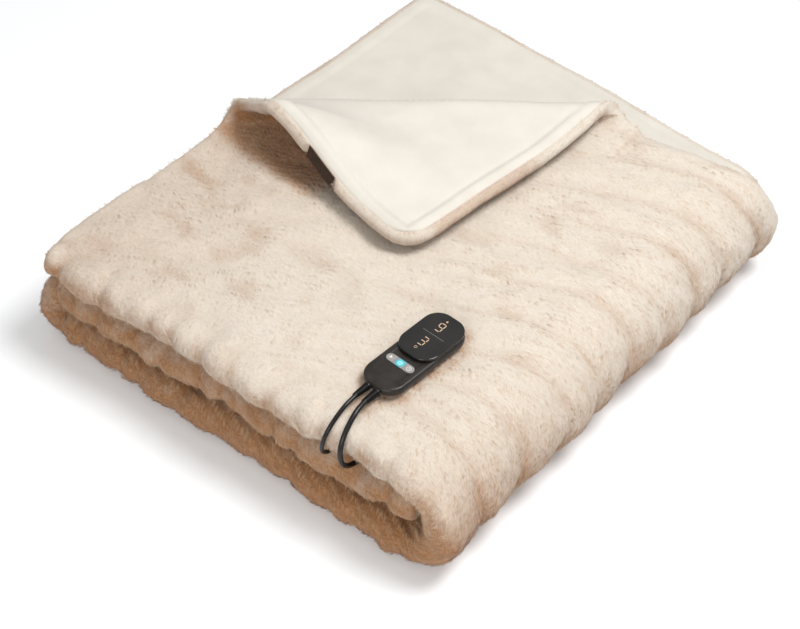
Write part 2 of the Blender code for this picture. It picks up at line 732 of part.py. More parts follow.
def add_plug(rubber):
    """A flat two-pin plug that lies on the floor, pins towards -X."""
    towards = Vector((-1, 0, 0))
    start = route_point(PLUG_ROUTE[-1]) + towards * PART_GAP
    profile = relief_profile(PLUG_RELIEF_LENGTH, MAINS_LEAD_RADIUS + 0.0006, MAINS_LEAD_RADIUS + 0.0024)
    turned_solid("plug_relief", profile, start, towards, rubber)
    back = start + towards * (PLUG_RELIEF_LENGTH + PART_GAP)
    shape = bmesh.new()
    widths = ((0, PLUG_NOSE_WIDTH * 0.72), (0.004, PLUG_NOSE_WIDTH), (0.016, PLUG_WIDTH), (PLUG_LENGTH, PLUG_WIDTH))
    rings = []
    for distance, width in widths:
        outline = rounded_outline(width, PLUG_HEIGHT, PLUG_HEIGHT * 0.42, 3)
        centre = back + towards * distance
        rings.append([shape.verts.new(centre + Vector((0, p.x, p.y))) for p in outline])
    skin_rings(shape, rings)
    add_object("plug_body", mesh_of("plug_body", shape), rubber)
    brass = material("plug_pins", (0.75, 0.68, 0.45), 0.3, 1.0)
    face = back + towards * (PLUG_LENGTH + PART_GAP)
    pin_profile = ((0, PIN_RADIUS), (PIN_LENGTH - 0.001, PIN_RADIUS), (PIN_LENGTH, PIN_RADIUS * 0.6))
    for name, side in (("plug_pin_front", -1), ("plug_pin_back", 1)):
        aside = Vector((0, side * PIN_SPACING / 2, 0))
        turned_solid(name, pin_profile, face + aside, towards, brass, 10)


def add_connector(rubber):
    """The blanket's flat connector, on the middle layer just inside its back hem."""
    lead_end = route_point(CONTROL_ROUTE[-1])
    middle_y = lead_end.y + PART_GAP + CONNECTOR_LENGTH / 2
    centre = Vector((lead_end.x, middle_y, MIDDLE_FUR + SEAT_GAP))
    levels = ((0, 0.001), (0.001, 0), (CONNECTOR_HEIGHT - 0.001, 0), (CONNECTOR_HEIGHT, 0.001))
    shape = lofted_slab(CONNECTOR_WIDTH, CONNECTOR_LENGTH, 0.004, levels, centre, 3)
    add_object("hem_connector", mesh_of("hem_connector", shape), rubber)


def main():
    for old in list(bpy.data.objects):
        bpy.data.objects.remove(old, do_unlink=True)
    add_cloth()
    add_label()
    add_controller()
    rubber = material("black_rubber", (0.03, 0.03, 0.03), 0.35)
    add_lead("control_lead", CONTROL_ROUTE, CONTROL_LEAD_RADIUS, rubber)
    add_lead("mains_lead", MAINS_ROUTE, MAINS_LEAD_RADIUS, rubber)
    add_lead("plug_lead", PLUG_ROUTE, MAINS_LEAD_RADIUS, rubber)
    add_coil(rubber)
    add_plug(rubber)
    add_connector(rubber)


main()
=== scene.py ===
"""The looks of the folded heated throw: fur, fleece, label, hand controller and leads, on a pale floor.

Metres, in the CAD frame. The cloth lies on the same folds as the CAD solids and is built from coordinates of
the flat cloth: u runs along it, from the free end on top to the one inside the pile, and v across it, from
the outer sheet's back hem over the front fold to the inner sheet's back hem.
"""

from math import cos, hypot, pi, radians, sin

import bmesh
import bpy
import numpy as np
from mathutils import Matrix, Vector
from mathutils.geometry import interpolate_bezier


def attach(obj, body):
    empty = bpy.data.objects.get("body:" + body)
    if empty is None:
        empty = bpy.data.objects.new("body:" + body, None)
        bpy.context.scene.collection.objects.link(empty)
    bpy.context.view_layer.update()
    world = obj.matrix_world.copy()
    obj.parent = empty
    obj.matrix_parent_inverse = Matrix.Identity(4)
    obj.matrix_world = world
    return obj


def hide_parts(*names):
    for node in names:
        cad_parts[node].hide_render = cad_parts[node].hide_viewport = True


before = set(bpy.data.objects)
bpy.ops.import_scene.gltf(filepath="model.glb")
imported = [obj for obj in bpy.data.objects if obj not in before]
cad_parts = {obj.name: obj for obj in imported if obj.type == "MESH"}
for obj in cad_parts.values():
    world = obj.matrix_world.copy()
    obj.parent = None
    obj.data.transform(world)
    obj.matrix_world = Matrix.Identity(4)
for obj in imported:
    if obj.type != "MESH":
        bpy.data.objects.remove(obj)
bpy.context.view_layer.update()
BODY = "blanket"

# ---------------- the folds, as in part.py

PILE_LENGTH = 0.637
PILE_DEPTH = 0.705
LEFT, RIGHT, FRONT = -PILE_LENGTH / 2, PILE_LENGTH / 2, -PILE_DEPTH / 2
TOP_LEFT = LEFT + 0.045
HALF_AIR = 0.0027
FLEECE = 0.0030
SKIN_GAP = 0.0003
FUR = 0.0180
DOUBLE = HALF_AIR + FLEECE + SKIN_GAP + FUR
LOWER_PITCH = 0.0520
UPPER_PITCH = 0.0580
Z_BOTTOM = DOUBLE
Z_MIDDLE = Z_BOTTOM + LOWER_PITCH
Z_TOP = Z_MIDDLE + UPPER_PITCH
MIDDLE_FUR = Z_MIDDLE + DOUBLE
TOP_FUR = Z_TOP + DOUBLE
INNER_TURN = LOWER_PITCH / 2
OUTER_TURN = (LOWER_PITCH + UPPER_PITCH) / 2
INNER_TURN_X = LEFT + DOUBLE + INNER_TURN
OUTER_TURN_X = RIGHT - DOUBLE - OUTER_TURN
MIDDLE_END_X = RIGHT - 0.068
TURNED_PART = 0.410
TOP_HEM = 0.644
LENGTHS, HALF_FOLDS, OUTER_HEMS, INNER_HEMS = np.array(
    (
        # length of each part along the cloth, and its half fold, outer hem and inner hem from the front
        (TURNED_PART, 0.000, TOP_HEM, 0.705),  # top
        (OUTER_TURN_X - TOP_LEFT - TURNED_PART, 0.000, TOP_HEM, 0.705),
        (pi / 2 * OUTER_TURN, 0.001, 0.666, 0.705),  # wide roll, upper half
        (pi / 2 * OUTER_TURN, 0.000, 0.712, 0.716),
        (OUTER_TURN_X - INNER_TURN_X, 0.000, 0.706, 0.708),  # bottom
        (pi * INNER_TURN, 0.003, 0.690, 0.686),
        (MIDDLE_END_X - INNER_TURN_X, 0.008, 0.684, 0.690),  # middle
        (0.0, 0.011, 0.700, 0.704),
    )
).T
PART_STARTS = np.cumsum((0.0, *LENGTHS[:-1]))
_, TOP_END, ROLL_MIDDLE, ROLL_END, BOTTOM_END, INNER_TURN_END, CLOTH_LENGTH = PART_STARTS[1:]
DEPTH_TAPER = 0.07
HALF_TURN_ARC = pi * (HALF_AIR + 0.010)
SIDE_RUN = PILE_DEPTH - DOUBLE
FOLD_END = SIDE_RUN + HALF_TURN_ARC
FOLD_MIDDLE = SIDE_RUN + HALF_TURN_ARC / 2
CLOTH_WIDTH = 2 * SIDE_RUN + HALF_TURN_ARC
TURN_START = np.array((TOP_LEFT, FRONT + 0.290))
TURN_END = np.array((TOP_LEFT + 0.400, FRONT + 0.643))
TURN_ALONG = (TURN_END - TURN_START) / np.linalg.norm(TURN_END - TURN_START)
TURN_ACROSS = np.array((-TURN_ALONG[1], TURN_ALONG[0]))
TURN_AXIS_Z = TOP_FUR + 0.002
TURN_NEUTRAL = TURN_AXIS_Z - (Z_TOP + HALF_AIR + 0.010)
FOLD_PUFF = 0.009
FOLD_PUFF_REACH = 0.045
ARCH_FOOT_LIFT = 0.012
ARCH_FOOT = 0.052
ARCH_FOOT_REACH = 0.017
FLAP_BULGE = 0.016
FLAP_BULGE_START = 0.100
FLAP_BULGE_LENGTH = 0.436
FLAP_BULGE_REACH = 0.060
FLAP_SLIP = 0.004
ARCH_HEIGHT = 0.048
ARCH_REACH = 0.165
ARCH_WIDTH = 0.090
ARCH_CREST = 0.30
HEM_PULL = 0.008
HEM_PULL_REACH = 0.060
FRONT_SAG = 0.006
CORNER_SAG = 0.008
CONTROLLER_X = TOP_LEFT + 0.439
CONTROLLER_Y = FRONT + 0.1325
CONTROLLER_TURN = radians(-4)


def smooth_step(value):
    value = np.clip(value, 0.0, 1.0)
    return value * value * (3 - 2 * value)


def thirds_fold(u):
    """Place (x, z) and outward normal (x, z) of the middle of the double layer."""
    upper = pi / 2 - (u - TOP_END) / OUTER_TURN
    inner = -pi / 2 - (u - BOTTOM_END) / INNER_TURN
    zone = [u <= end for end in (TOP_END, ROLL_END, BOTTOM_END, INNER_TURN_END)]
    normal_x = np.select(zone, [0, np.cos(upper), 0, np.cos(inner)], 0)
    normal_z = np.select(zone, [1, np.sin(upper), -1, np.sin(inner)], 1)
    roll_x, turn_x = OUTER_TURN_X + OUTER_TURN * normal_x, INNER_TURN_X + INNER_TURN * normal_x
    roll_z, turn_z = Z_BOTTOM + OUTER_TURN * (1 + normal_z), Z_BOTTOM + INNER_TURN * (1 + normal_z)
    bottom_x, middle_x = OUTER_TURN_X - (u - ROLL_END), INNER_TURN_X + u - INNER_TURN_END
    x = np.select(zone, [TOP_LEFT + u, roll_x, bottom_x, turn_x], middle_x)
    z = np.select(zone, [Z_TOP, roll_z, Z_BOTTOM, turn_z], Z_MIDDLE)
    return x, z, normal_x, normal_z


def from_front(u, line):
    return FRONT + np.interp(u, PART_STARTS, line)


def half_fold(u, v, offset):
    """y, and the height over the double layer's middle."""
    fold_y = from_front(u, HALF_FOLDS) + DOUBLE
    outer_y, inner_y = from_front(u, OUTER_HEMS), from_front(u, INNER_HEMS)
    reach = HALF_AIR + offset
    angle = pi * (v - SIDE_RUN) / HALF_TURN_ARC
    zone = [v <= SIDE_RUN, v < FOLD_END]
    outer = fold_y + (outer_y - fold_y) * ((SIDE_RUN - v) / SIDE_RUN)
    inner = fold_y + (inner_y - fold_y) * ((v - SIDE_RUN - HALF_TURN_ARC) / SIDE_RUN)
    y = np.select(zone, [outer, fold_y - reach * np.sin(angle)], inner)
    return y, np.select(zone, [reach, reach * np.cos(angle)], -reach)


def from_turn(x, y, way=TURN_ACROSS):
    """How far a place lies from the turn line's start, measured this way."""
    return (x - TURN_START[0]) * way[0] + (y - TURN_START[1]) * way[1]


def turn_back(x, y, z, offset):
    """Rolls what lies beyond the turn line up and back over the pile, with an arch by the left hem."""
    beyond = from_turn(x, y)
    near_hem = np.exp(-(((x - TOP_LEFT) / ARCH_WIDTH) ** 2))
    from_crest = beyond - pi * TURN_NEUTRAL / 2
    pull = HEM_PULL * near_hem * np.exp(-((from_crest / HEM_PULL_REACH) ** 2))
    puff = FOLD_PUFF * np.exp(-((from_crest / FOLD_PUFF_REACH) ** 2))
    puff = puff + ARCH_FOOT_LIFT * near_hem * np.exp(-(((beyond - ARCH_FOOT) / ARCH_FOOT_REACH) ** 2))
    turned = beyond > 0
    radius = TURN_AXIS_Z - (Z_TOP + HALF_AIR + offset)
    angle = np.clip(beyond / TURN_NEUTRAL, 0, pi)
    past = np.maximum(beyond - pi * TURN_NEUTRAL, 0)
    sway = from_turn(x, y, TURN_ALONG)
    bulge = FLAP_BULGE * np.sin(pi * np.clip((sway - FLAP_BULGE_START) / FLAP_BULGE_LENGTH, 0, 1))
    spread = smooth_step(past / FLAP_BULGE_REACH)
    shift = radius * np.sin(angle) - past - beyond - bulge * spread
    slip = FLAP_SLIP * spread
    share = past / ARCH_REACH
    rise = smooth_step(share / ARCH_CREST) * (1 - smooth_step((share - ARCH_CREST) / (1 - ARCH_CREST)))
    height = TURN_AXIS_Z - radius * np.cos(angle) + ARCH_HEIGHT * near_hem * rise
    x = np.where(turned, x + TURN_ACROSS[0] * shift - TURN_ALONG[0] * slip, x)
    y = np.where(turned, y + TURN_ACROSS[1] * shift - TURN_ALONG[1] * slip, y)
    return x + pull, y, np.where(turned, height, z) + puff


def unevenness(x, y, z):
    near_front = smooth_step((FRONT + 0.20 - y) / 0.20)
    near_left = smooth_step((LEFT + 0.20 - x) / 0.20)
    near_right = smooth_step((x - RIGHT + 0.20) / 0.20)
    high = smooth_step((z - MIDDLE_FUR) / (Z_TOP - MIDDLE_FUR))
    clear = smooth_step((np.hypot(x - CONTROLLER_X, y - CONTROLLER_Y) - 0.08) / 0.10)
    shift_y = 0.0030 * np.sin(24 * x + 30 * z) * near_front
    shift_y -= DEPTH_TAPER * (y - FRONT) * (x - TOP_LEFT) / (OUTER_TURN_X - TOP_LEFT)
    shift_x = 0.0030 * np.sin(21 * y + 25 * z + 1.0) * near_left
    shift_x -= 0.0035 * (0.5 + 0.5 * np.sin(27 * y + 18 * z)) * near_right
    shift_z = 0.0022 * np.sin(23 * x + 0.7) * np.sin(19 * y + 0.4) * high * clear
    shift_z -= FRONT_SAG * smooth_step(1 - (y - FRONT) / 0.07) * smooth_step(z / MIDDLE_FUR)
    shift_z -= CORNER_SAG * smooth_step(1 - np.hypot(x - TOP_LEFT, y + FRONT) / 0.16) * high
    return shift_x, shift_y, shift_z


def cloth_points(u, v, offset):
    """Points, one a row, of the folded cloth at places of the flat one, this far out from its fleece side."""
    u, v, offset = np.broadcast_arrays(u, v, offset)
    middle_x, middle_z, normal_x, normal_z = thirds_fold(u)
    y, height = half_fold(u, v, offset)
    plain = middle_x + normal_x * height, y, middle_z + normal_z * height
    turning = (v <= SIDE_RUN) & (u < TURNED_PART)
    placed = [np.where(turning, turned, flat) for turned, flat in zip(turn_back(*plain, offset), plain)]
    return np.stack([part + shift for part, shift in zip(placed, unevenness(*placed))], axis=-1)


# ---------------- noise and meshes

NOISE_CELLS = 64
EDGE_STEPS = 5


def noise(x, y, seed):
    """Smooth noise from about -1 to 1 with cells of size 1, the same for the same seed."""
    angle = np.random.default_rng(seed).random((NOISE_CELLS, NOISE_CELLS)) * 2 * pi
    column, row = np.floor(x).astype(int), np.floor(y).astype(int)
    right, up = x - column, y - row
    blend_x, blend_y = (part**3 * (part * (part * 6 - 15) + 10) for part in (right, up))

    def corner(step_x, step_y):
        turn = angle[(column + step_x) % NOISE_CELLS, (row + step_y) % NOISE_CELLS]
        return np.cos(turn) * (right - step_x) + np.sin(turn) * (up - step_y)

    lower = corner(0, 0) * (1 - blend_x) + corner(1, 0) * blend_x
    upper = corner(0, 1) * (1 - blend_x) + corner(1, 1) * blend_x
    return (lower * (1 - blend_y) + upper * blend_y) * 1.5


def unit(vectors):
    return vectors / np.maximum(np.linalg.norm(vectors, axis=-1, keepdims=True), 1e-12)


def new_object(name, data, material, body=BODY):
    """Adds a piece that rides on a body, with this material."""
    data.materials.append(material)
    made = bpy.data.objects.new(name, data)
    bpy.context.scene.collection.objects.link(made)
    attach(made, body)
    return made


def add_solid(name, mesh, material, node):
    """A piece that takes a CAD node's place."""
    made = new_object(name, mesh, material)
    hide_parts(node)
    return made


def mesh_from_arrays(name, points, faces):
    """A smooth mesh from an array of points and an array of faces of three or four corners each."""
    mesh = bpy.data.meshes.new(name)
    mesh.vertices.add(len(points))
    mesh.vertices.foreach_set("co", np.ascontiguousarray(points, dtype=np.float32).ravel())
    count, corners = faces.shape
    mesh.loops.add(count * corners)
    mesh.loops.foreach_set("vertex_index", np.ascontiguousarray(faces, dtype=np.int32).ravel())
    mesh.polygons.add(count)
    mesh.polygons.foreach_set("loop_start", np.arange(0, count * corners, corners, dtype=np.int32))
    mesh.update(calc_edges=True)
    mesh.shade_smooth()
    return mesh


def add_uv(mesh, name, places):
    mesh.uv_layers.new(name=name).data.foreach_set("uv", places.astype(np.float32).ravel())


def grid_faces(index):
    """The quads of a grid of point indices, and the indices round its edge."""
    quads = np.stack((index[:-1, :-1], index[1:, :-1], index[1:, 1:], index[:-1, 1:]), axis=-1)
    border = np.concatenate((index[:-1, 0], index[-1, :-1], index[:0:-1, -1], index[0, :0:-1]))
    return quads.reshape(-1, 4), border


def wall_faces(low, high, count):
    """Quads between two rings of as many points each, that start at these indices."""
    steps = [(index, (index + 1) % count) for index in range(count)]
    return [(low + here, low + following, high + following, high + here) for here, following in steps]


def solid_mesh(name, rings, sharp=35):
    """A closed body through rings of as many points each, with flat ends."""
    count, last = len(rings[0]), len(rings) - 1
    faces = [face for level in range(last) for face in wall_faces(level * count, (level + 1) * count, count)]
    faces += [tuple(range(count))[::-1], tuple(range(last * count, (last + 1) * count))]
    mesh = bpy.data.meshes.new(name)
    mesh.from_pydata(np.concatenate(rings).tolist(), [], faces)
    shape = bmesh.new()
    shape.from_mesh(mesh)
    bmesh.ops.recalc_face_normals(shape, faces=shape.faces)
    shape.to_mesh(mesh)
    shape.free()
    mesh.shade_smooth()
    mesh.set_sharp_from_angle(angle=radians(sharp))
    return mesh


def rounded_outline(width, length, radius, steps=14):
    """Points round a rectangle with round corners, centred on the origin."""
    angle = (np.arange(4)[:, None] + np.arange(steps + 1) / steps) * pi / 2
    side = np.array(((1, 1), (-1, 1), (-1, -1), (1, -1)))[:, None, :]
    centre = side * np.array((width / 2 - radius, length / 2 - radius))
    return (centre + radius * np.stack((np.cos(angle), np.sin(angle)), axis=-1)).reshape(-1, 2)


def at_height(outline, height):
    return np.column_stack((outline, np.full(len(outline), height)))


def slab_rings(size, levels, centre, base, steps):
    """Rings of a slab of size (width, length, corner radius): levels lists (height over base, inset)."""
    rings = []
    for height, inset in levels:
        outline = rounded_outline(size[0] - 2 * inset, size[1] - 2 * inset, size[2] - inset, steps)
        rings.append(at_height(outline + centre, height) + (0, 0, base))
    return rings


def rounded_edge(high, inset, radius):
    """Levels of a round edge of that radius at the top of a wall."""
    bend = [pi / 2 * step / EDGE_STEPS for step in range(EDGE_STEPS + 1)]
    return [(high - radius + radius * sin(a), inset + radius * (1 - cos(a))) for a in bend]


# ---------------- materials


class Nodes:
    """A short way to write a material's nodes."""

    def __init__(self, name):
        self.material = bpy.data.materials.new(name)
        self.material.use_nodes = True
        self.tree = self.material.node_tree

    def add(self, kind, inputs, **settings):
        node = self.tree.nodes.new("ShaderNode" + kind)
        for key, value in settings.items():
            setattr(node, key, value)
        for key, value in inputs.items():
            self.feed(node.inputs[key], value)
        return node

    def feed(self, socket, value):
        if isinstance(value, bpy.types.NodeSocket):
            self.tree.links.new(value, socket)
        else:
            socket.default_value = (*value, 1.0) if socket.type == "RGBA" else value

    def shade(self, **inputs):
        for key, value in inputs.items():
            self.feed(self.tree.nodes["Principled BSDF"].inputs[key.replace("_", " ")], value)
        return self.material

    def place(self):
        return self.add("TexCoord", {}).outputs["Object"]

    def flat(self, name):
        return self.add("UVMap", {}, uv_map=name).outputs[0]

    def strand(self):
        """Height on its strand, chance, and how far the pile parts with its painted shade, as stored at the
        mesh's points.
        """
        stored = self.add("Attribute", {}, attribute_name="strand").outputs["Color"]
        return self.add("SeparateColor", {"Color": stored}).outputs

    def noise(self, scale, detail=2.0, roughness=0.5, vector=None, distortion=0.0):
        inputs = {"Scale": scale, "Detail": detail, "Roughness": roughness, "Distortion": distortion}
        inputs["Vector"] = self.place() if vector is None else vector
        return self.add("TexNoise", inputs).outputs["Fac"]

    def ramp(self, factor, *stops):
        """Each stop is a position and a colour, or a position and a grey."""
        node = self.add("ValToRGB", {"Fac": factor})
        elements = node.color_ramp.elements
        while len(elements) < len(stops):
            elements.new(0.5)
        for element, (position, *colour) in zip(elements, stops):
            element.position = position
            element.color = (*colour * (3 // len(colour)), 1.0)
        return node.outputs["Color"]

    def maths(self, operation, first, second):
        return self.add("Math", {0: first, 1: second}, operation=operation).outputs[0]

    def weighed(self, first, share, second, other):
        """The sum of two values, each times its share."""
        parts = self.maths("MULTIPLY", first, share), self.maths("MULTIPLY", second, other)
        return self.maths("ADD", *parts)

    def mix(self, factor, first, second):
        return self.add("Mix", {0: factor, 6: first, 7: second}, data_type="RGBA").outputs[2]

    def bump(self, height, strength, distance):
        return self.add("Bump", {"Height": height, "Strength": strength, "Distance": distance}).outputs[0]


def undercoat_material():
    """The dense wool under the long strands: streaks along the nap, browner where the pile parts and where
    shade is painted.
    """
    nodes = Nodes("undercoat")
    flat = nodes.flat("flat_cloth")
    swirl = nodes.add("TexNoise", {"Vector": flat, "Scale": 14.0, "Detail": 2.0}).outputs["Color"]
    swayed = nodes.add("Mix", {0: 0.035, 4: flat, 5: swirl}, data_type="VECTOR").outputs[1]
    lay = nodes.add("Mapping", {"Vector": swayed, "Rotation": (0, 0, radians(-26)), "Scale": (1.0, 7.0, 1.0)})
    streaks = nodes.noise(170.0, 4.0, 0.62, lay.outputs[0])
    locks = nodes.noise(80.0, 2.0, 0.5, swayed)
    whole = nodes.ramp(
        streaks, (0.28, 0.54, 0.45, 0.345), (0.50, 0.640, 0.572, 0.490), (0.72, 0.675, 0.622, 0.550)
    )
    parted_and_shaded = nodes.ramp(
        streaks, (0.30, 0.20, 0.075, 0.025), (0.52, 0.35, 0.160, 0.062), (0.75, 0.49, 0.265, 0.118)
    )
    return nodes.shade(
        Base_Color=nodes.mix(nodes.strand()[2], whole, parted_and_shaded),
        Roughness=0.95,
        Sheen_Weight=0.12,
        Sheen_Roughness=0.6,
        Normal=nodes.bump(nodes.weighed(streaks, 0.3, locks, 0.7), 0.6, 0.0030),
    )


def strand_material():
    """Long strands: brown at the root, cream at the tip, browner where the pile parts and where shade is
    painted.
    """
    nodes = Nodes("fur_strands")
    height, chance, parting_and_shade = nodes.strand()
    whole = nodes.ramp(
        height, (0.0, 0.52, 0.425, 0.32), (0.45, 0.640, 0.577, 0.495), (1.0, 0.700, 0.657, 0.592)
    )
    parted_and_shaded = nodes.ramp(
        height, (0.0, 0.25, 0.130, 0.058), (0.5, 0.385, 0.218, 0.104), (1.0, 0.51, 0.325, 0.175)
    )
    browned = nodes.maths("MULTIPLY", nodes.maths("POWER", chance, 2.0), 0.30)
    varied = nodes.mix(browned, nodes.mix(parting_and_shade, whole, parted_and_shaded), (0.42, 0.295, 0.185))
    return nodes.shade(Base_Color=varied, Roughness=0.85, Sheen_Weight=0.1, Sheen_Roughness=0.5)


def fleece_material():
    nodes = Nodes("fleece")
    nap = nodes.noise(900.0, 3.0, 0.65)
    tone = nodes.weighed(nap, 0.35, nodes.noise(26.0, 3.0, 0.5), 0.65)
    stops = (0.30, 0.625, 0.582, 0.512), (0.52, 0.665, 0.624, 0.555), (0.75, 0.695, 0.658, 0.592)
    bump = nodes.bump(nap, 0.6, 0.0006)
    colour = nodes.ramp(tone, *stops)
    return nodes.shade(Base_Color=colour, Roughness=0.95, Sheen_Weight=0.15, Sheen_Roughness=0.5, Normal=bump)


def cord_material():
    nodes = Nodes("cord_jacket")
    grain = nodes.noise(1500.0)
    shade = nodes.ramp(nodes.noise(60.0), (0.3, 0.007, 0.006, 0.006), (0.7, 0.016, 0.014, 0.013))
    gloss = nodes.ramp(grain, (0.3, 0.20), (0.7, 0.32))
    return nodes.shade(Base_Color=shade, Roughness=gloss, IOR=1.38, Normal=nodes.bump(grain, 0.08, 0.0002))


def moulded_material(name, dark, light, roughness):
    """Moulded plastic: a fine grain and slightly uneven gloss, lighter where hands have rubbed it."""
    nodes = Nodes(name)
    fine = nodes.noise(3800.0, 2.0, 0.6)
    worn = nodes.noise(70.0, 3.0, 0.55)
    shade = nodes.ramp(worn, (0.30, *dark), (0.75, *light))
    gloss = nodes.maths("ADD", nodes.maths("MULTIPLY", worn, 0.12), roughness - 0.06)
    return nodes.shade(Base_Color=shade, Roughness=gloss, IOR=1.38, Normal=nodes.bump(fine, 0.35, 0.00006))


def window_material():
    """The smoked window: glossy, with faint smears."""
    nodes = Nodes("smoked_window")
    smear = nodes.noise(55.0, 4.0, 0.6, distortion=1.5)
    shade = nodes.ramp(nodes.noise(40.0), (0.3, 0.008, 0.007, 0.007), (0.7, 0.015, 0.013, 0.012))
    gloss = nodes.ramp(smear, (0.35, 0.10), (0.70, 0.24))
    return nodes.shade(Base_Color=shade, Roughness=gloss, Coat_Weight=0.3, Coat_Roughness=0.06, IOR=1.45)


def glow_material(name, dark, light, strength):
    """Lit symbols, a little uneven as light through a thin film is."""
    nodes = Nodes(name)
    shade = nodes.ramp(nodes.noise(900.0), (0.35, *dark), (0.65, *light))
    return nodes.shade(Base_Color=shade, Roughness=0.4, Emission_Color=shade, Emission_Strength=strength)


def lit_key_material():
    """The middle key: a cyan light behind its centre that fades into the grey of the others."""
    nodes = Nodes("lit_key")
    centre = {0: nodes.place(), 1: (0.0, -KEY_STRIP_Y, -KEY_TOP)}
    away = nodes.add("VectorMath", {0: nodes.add("VectorMath", centre).outputs[0]}, operation="LENGTH")
    spread = nodes.weighed(away.outputs["Value"], 140.0, nodes.noise(500.0), 0.10)
    light = nodes.ramp(spread, (0.35, 0.05, 0.50, 0.58), (0.72, 0.09, 0.36, 0.41), (0.98, 0.27, 0.29, 0.29))
    glow = nodes.ramp(spread, (0.45, 0.02, 0.20, 0.24), (0.90, 0.0))
    return nodes.shade(Base_Color=light, Roughness=0.45, Emission_Color=glow, Emission_Strength=0.8)


def woven_material():
    """Plain woven tape: crossing threads."""
    nodes = Nodes("woven_tape")
    flat = nodes.flat("tape")
    warp = nodes.add("TexWave", {"Vector": flat, "Scale": 900.0}, bands_direction="X").outputs["Fac"]
    weft = nodes.add("TexWave", {"Vector": flat, "Scale": 700.0}, bands_direction="Y").outputs["Fac"]
    weave = nodes.maths("MULTIPLY", warp, weft)
    tone = nodes.weighed(weave, 0.5, nodes.noise(300.0, 3.0, 0.6, flat), 0.5)
    shade = nodes.ramp(tone, (0.25, 0.034, 0.020, 0.013), (0.75, 0.090, 0.060, 0.044))
    return nodes.shade(Base_Color=shade, Roughness=0.85, IOR=1.25, Normal=nodes.bump(weave, 0.5, 0.0003))


def pin_material():
    nodes = Nodes("plated_pins")
    fine = nodes.noise(700.0, 3.0, 0.6)
    shade = nodes.ramp(fine, (0.3, 0.66, 0.58, 0.38), (0.7, 0.80, 0.74, 0.55))
    gloss = nodes.ramp(fine, (0.3, 0.20), (0.7, 0.36))
    return nodes.shade(Base_Color=shade, Metallic=1.0, Roughness=gloss)


# ---------------- the leads

CONTROL_LEAD_RADIUS = 0.0025
MAINS_LEAD_RADIUS = 0.0030
LEAD_SPACING = 0.005
CONTROL_ROUTE = (
    # x, y and z from the pile's near left corner, in tenths of a millimetre, for each of the routes
    (4270, 432, 1646), (4268, 350, 1638), (4268, 270, 1615), (4266, 175, 1570), (4260, 68, 1490),
    (4245, -2, 1380), (4225, -20, 1255), (4205, 10, 1140), (4195, 100, 1052), (4190, 220, 1008),
    (4190, 360, 1003), (4180, 800, 1031), (4120, 1600, 1031), (4030, 2500, 1031), (3930, 3400, 1031),
    (3840, 4300, 1031), (3780, 5200, 1031), (3750, 5800, 1035), (3750, 6120, 1037),
)
MAINS_ROUTE = (
    (4405, 432, 1646), (4413, 350, 1640), (4425, 270, 1618), (4440, 175, 1575), (4458, 68, 1495),
    (4474, -8, 1380), (4486, -26, 1255), (4495, 6, 1140), (4500, 100, 1053), (4502, 220, 1011),
    (4500, 360, 1008), (4490, 800, 1036), (4470, 1600, 1036), (4440, 2500, 1036), (4410, 3400, 1036),
    (4380, 4300, 1036), (4360, 5200, 1036), (4350, 5900, 1036), (4355, 6330, 1036), (4380, 6600, 1010),
    (4410, 6790, 880), (4430, 6880, 700), (4435, 6950, 490), (4420, 7070, 270), (4350, 7290, 110),
    (4290, 7520, 50), (4180, 7680, 35), (4060, 7755, 34), (3960, 7785, 34),
)
PLUG_ROUTE = (
    (3660, 7792, 93), (3450, 7785, 88), (3270, 7776, 84), (3120, 7765, 80), (3000, 7740, 75),
    (2880, 7727, 73), (2760, 7725, 73),
)
COIL_X = TOP_LEFT + 0.384
COIL_Y = FRONT + 0.734
COIL_RADII = (0.0388, 0.0327, 0.0266)
COIL_LEVELS = (0.0034, 0.0095)
COIL_TURN_POINTS = 24
COIL_TURNS = 6


def route_points(route):
    return [Vector((TOP_LEFT, FRONT, 0)) + Vector([place / 10000 for place in point]) for point in route]


def smooth_route(points):
    """Fine points of a smooth curve through the points."""
    fine = []
    for index in range(len(points) - 1):
        before, after = points[max(index - 1, 0)], points[min(index + 2, len(points) - 1)]
        start, end = points[index], points[index + 1]
        reach = (end - start).length / 3
        leave = (end - before).normalized() * reach
        arrive = (after - start).normalized() * reach
        fine += interpolate_bezier(start, start + leave, end - arrive, end, 17)[:-1]
    return np.array([tuple(point) for point in (*fine, points[-1])])


def coil_points():
    """Three turns inwards on the floor and three outwards on top of them, each a lead's width apart."""
    steps = np.arange(COIL_TURNS * COIL_TURN_POINTS + 1) / COIL_TURN_POINTS
    knots = [0, 0.45, 0.95, 1.45, 1.95, 2.45, 3.0, 3.55, 4.05, 4.55, 5.05, 5.55, 6.0]
    outer, middle, inner = COIL_RADII
    radii = [outer, outer, middle, middle, inner, inner, inner, inner, inner, middle, middle, outer, outer]
    low, high = COIL_LEVELS
    height = np.interp(steps, (0, 2.75, 3.25, COIL_TURNS), (low, low, high, high))
    rows = zip(np.interp(steps, knots, radii), pi / 2 + 2 * pi * steps, height)
    return [Vector((COIL_X + r * cos(a), COIL_Y + r * sin(a), z)) for r, a, z in rows]


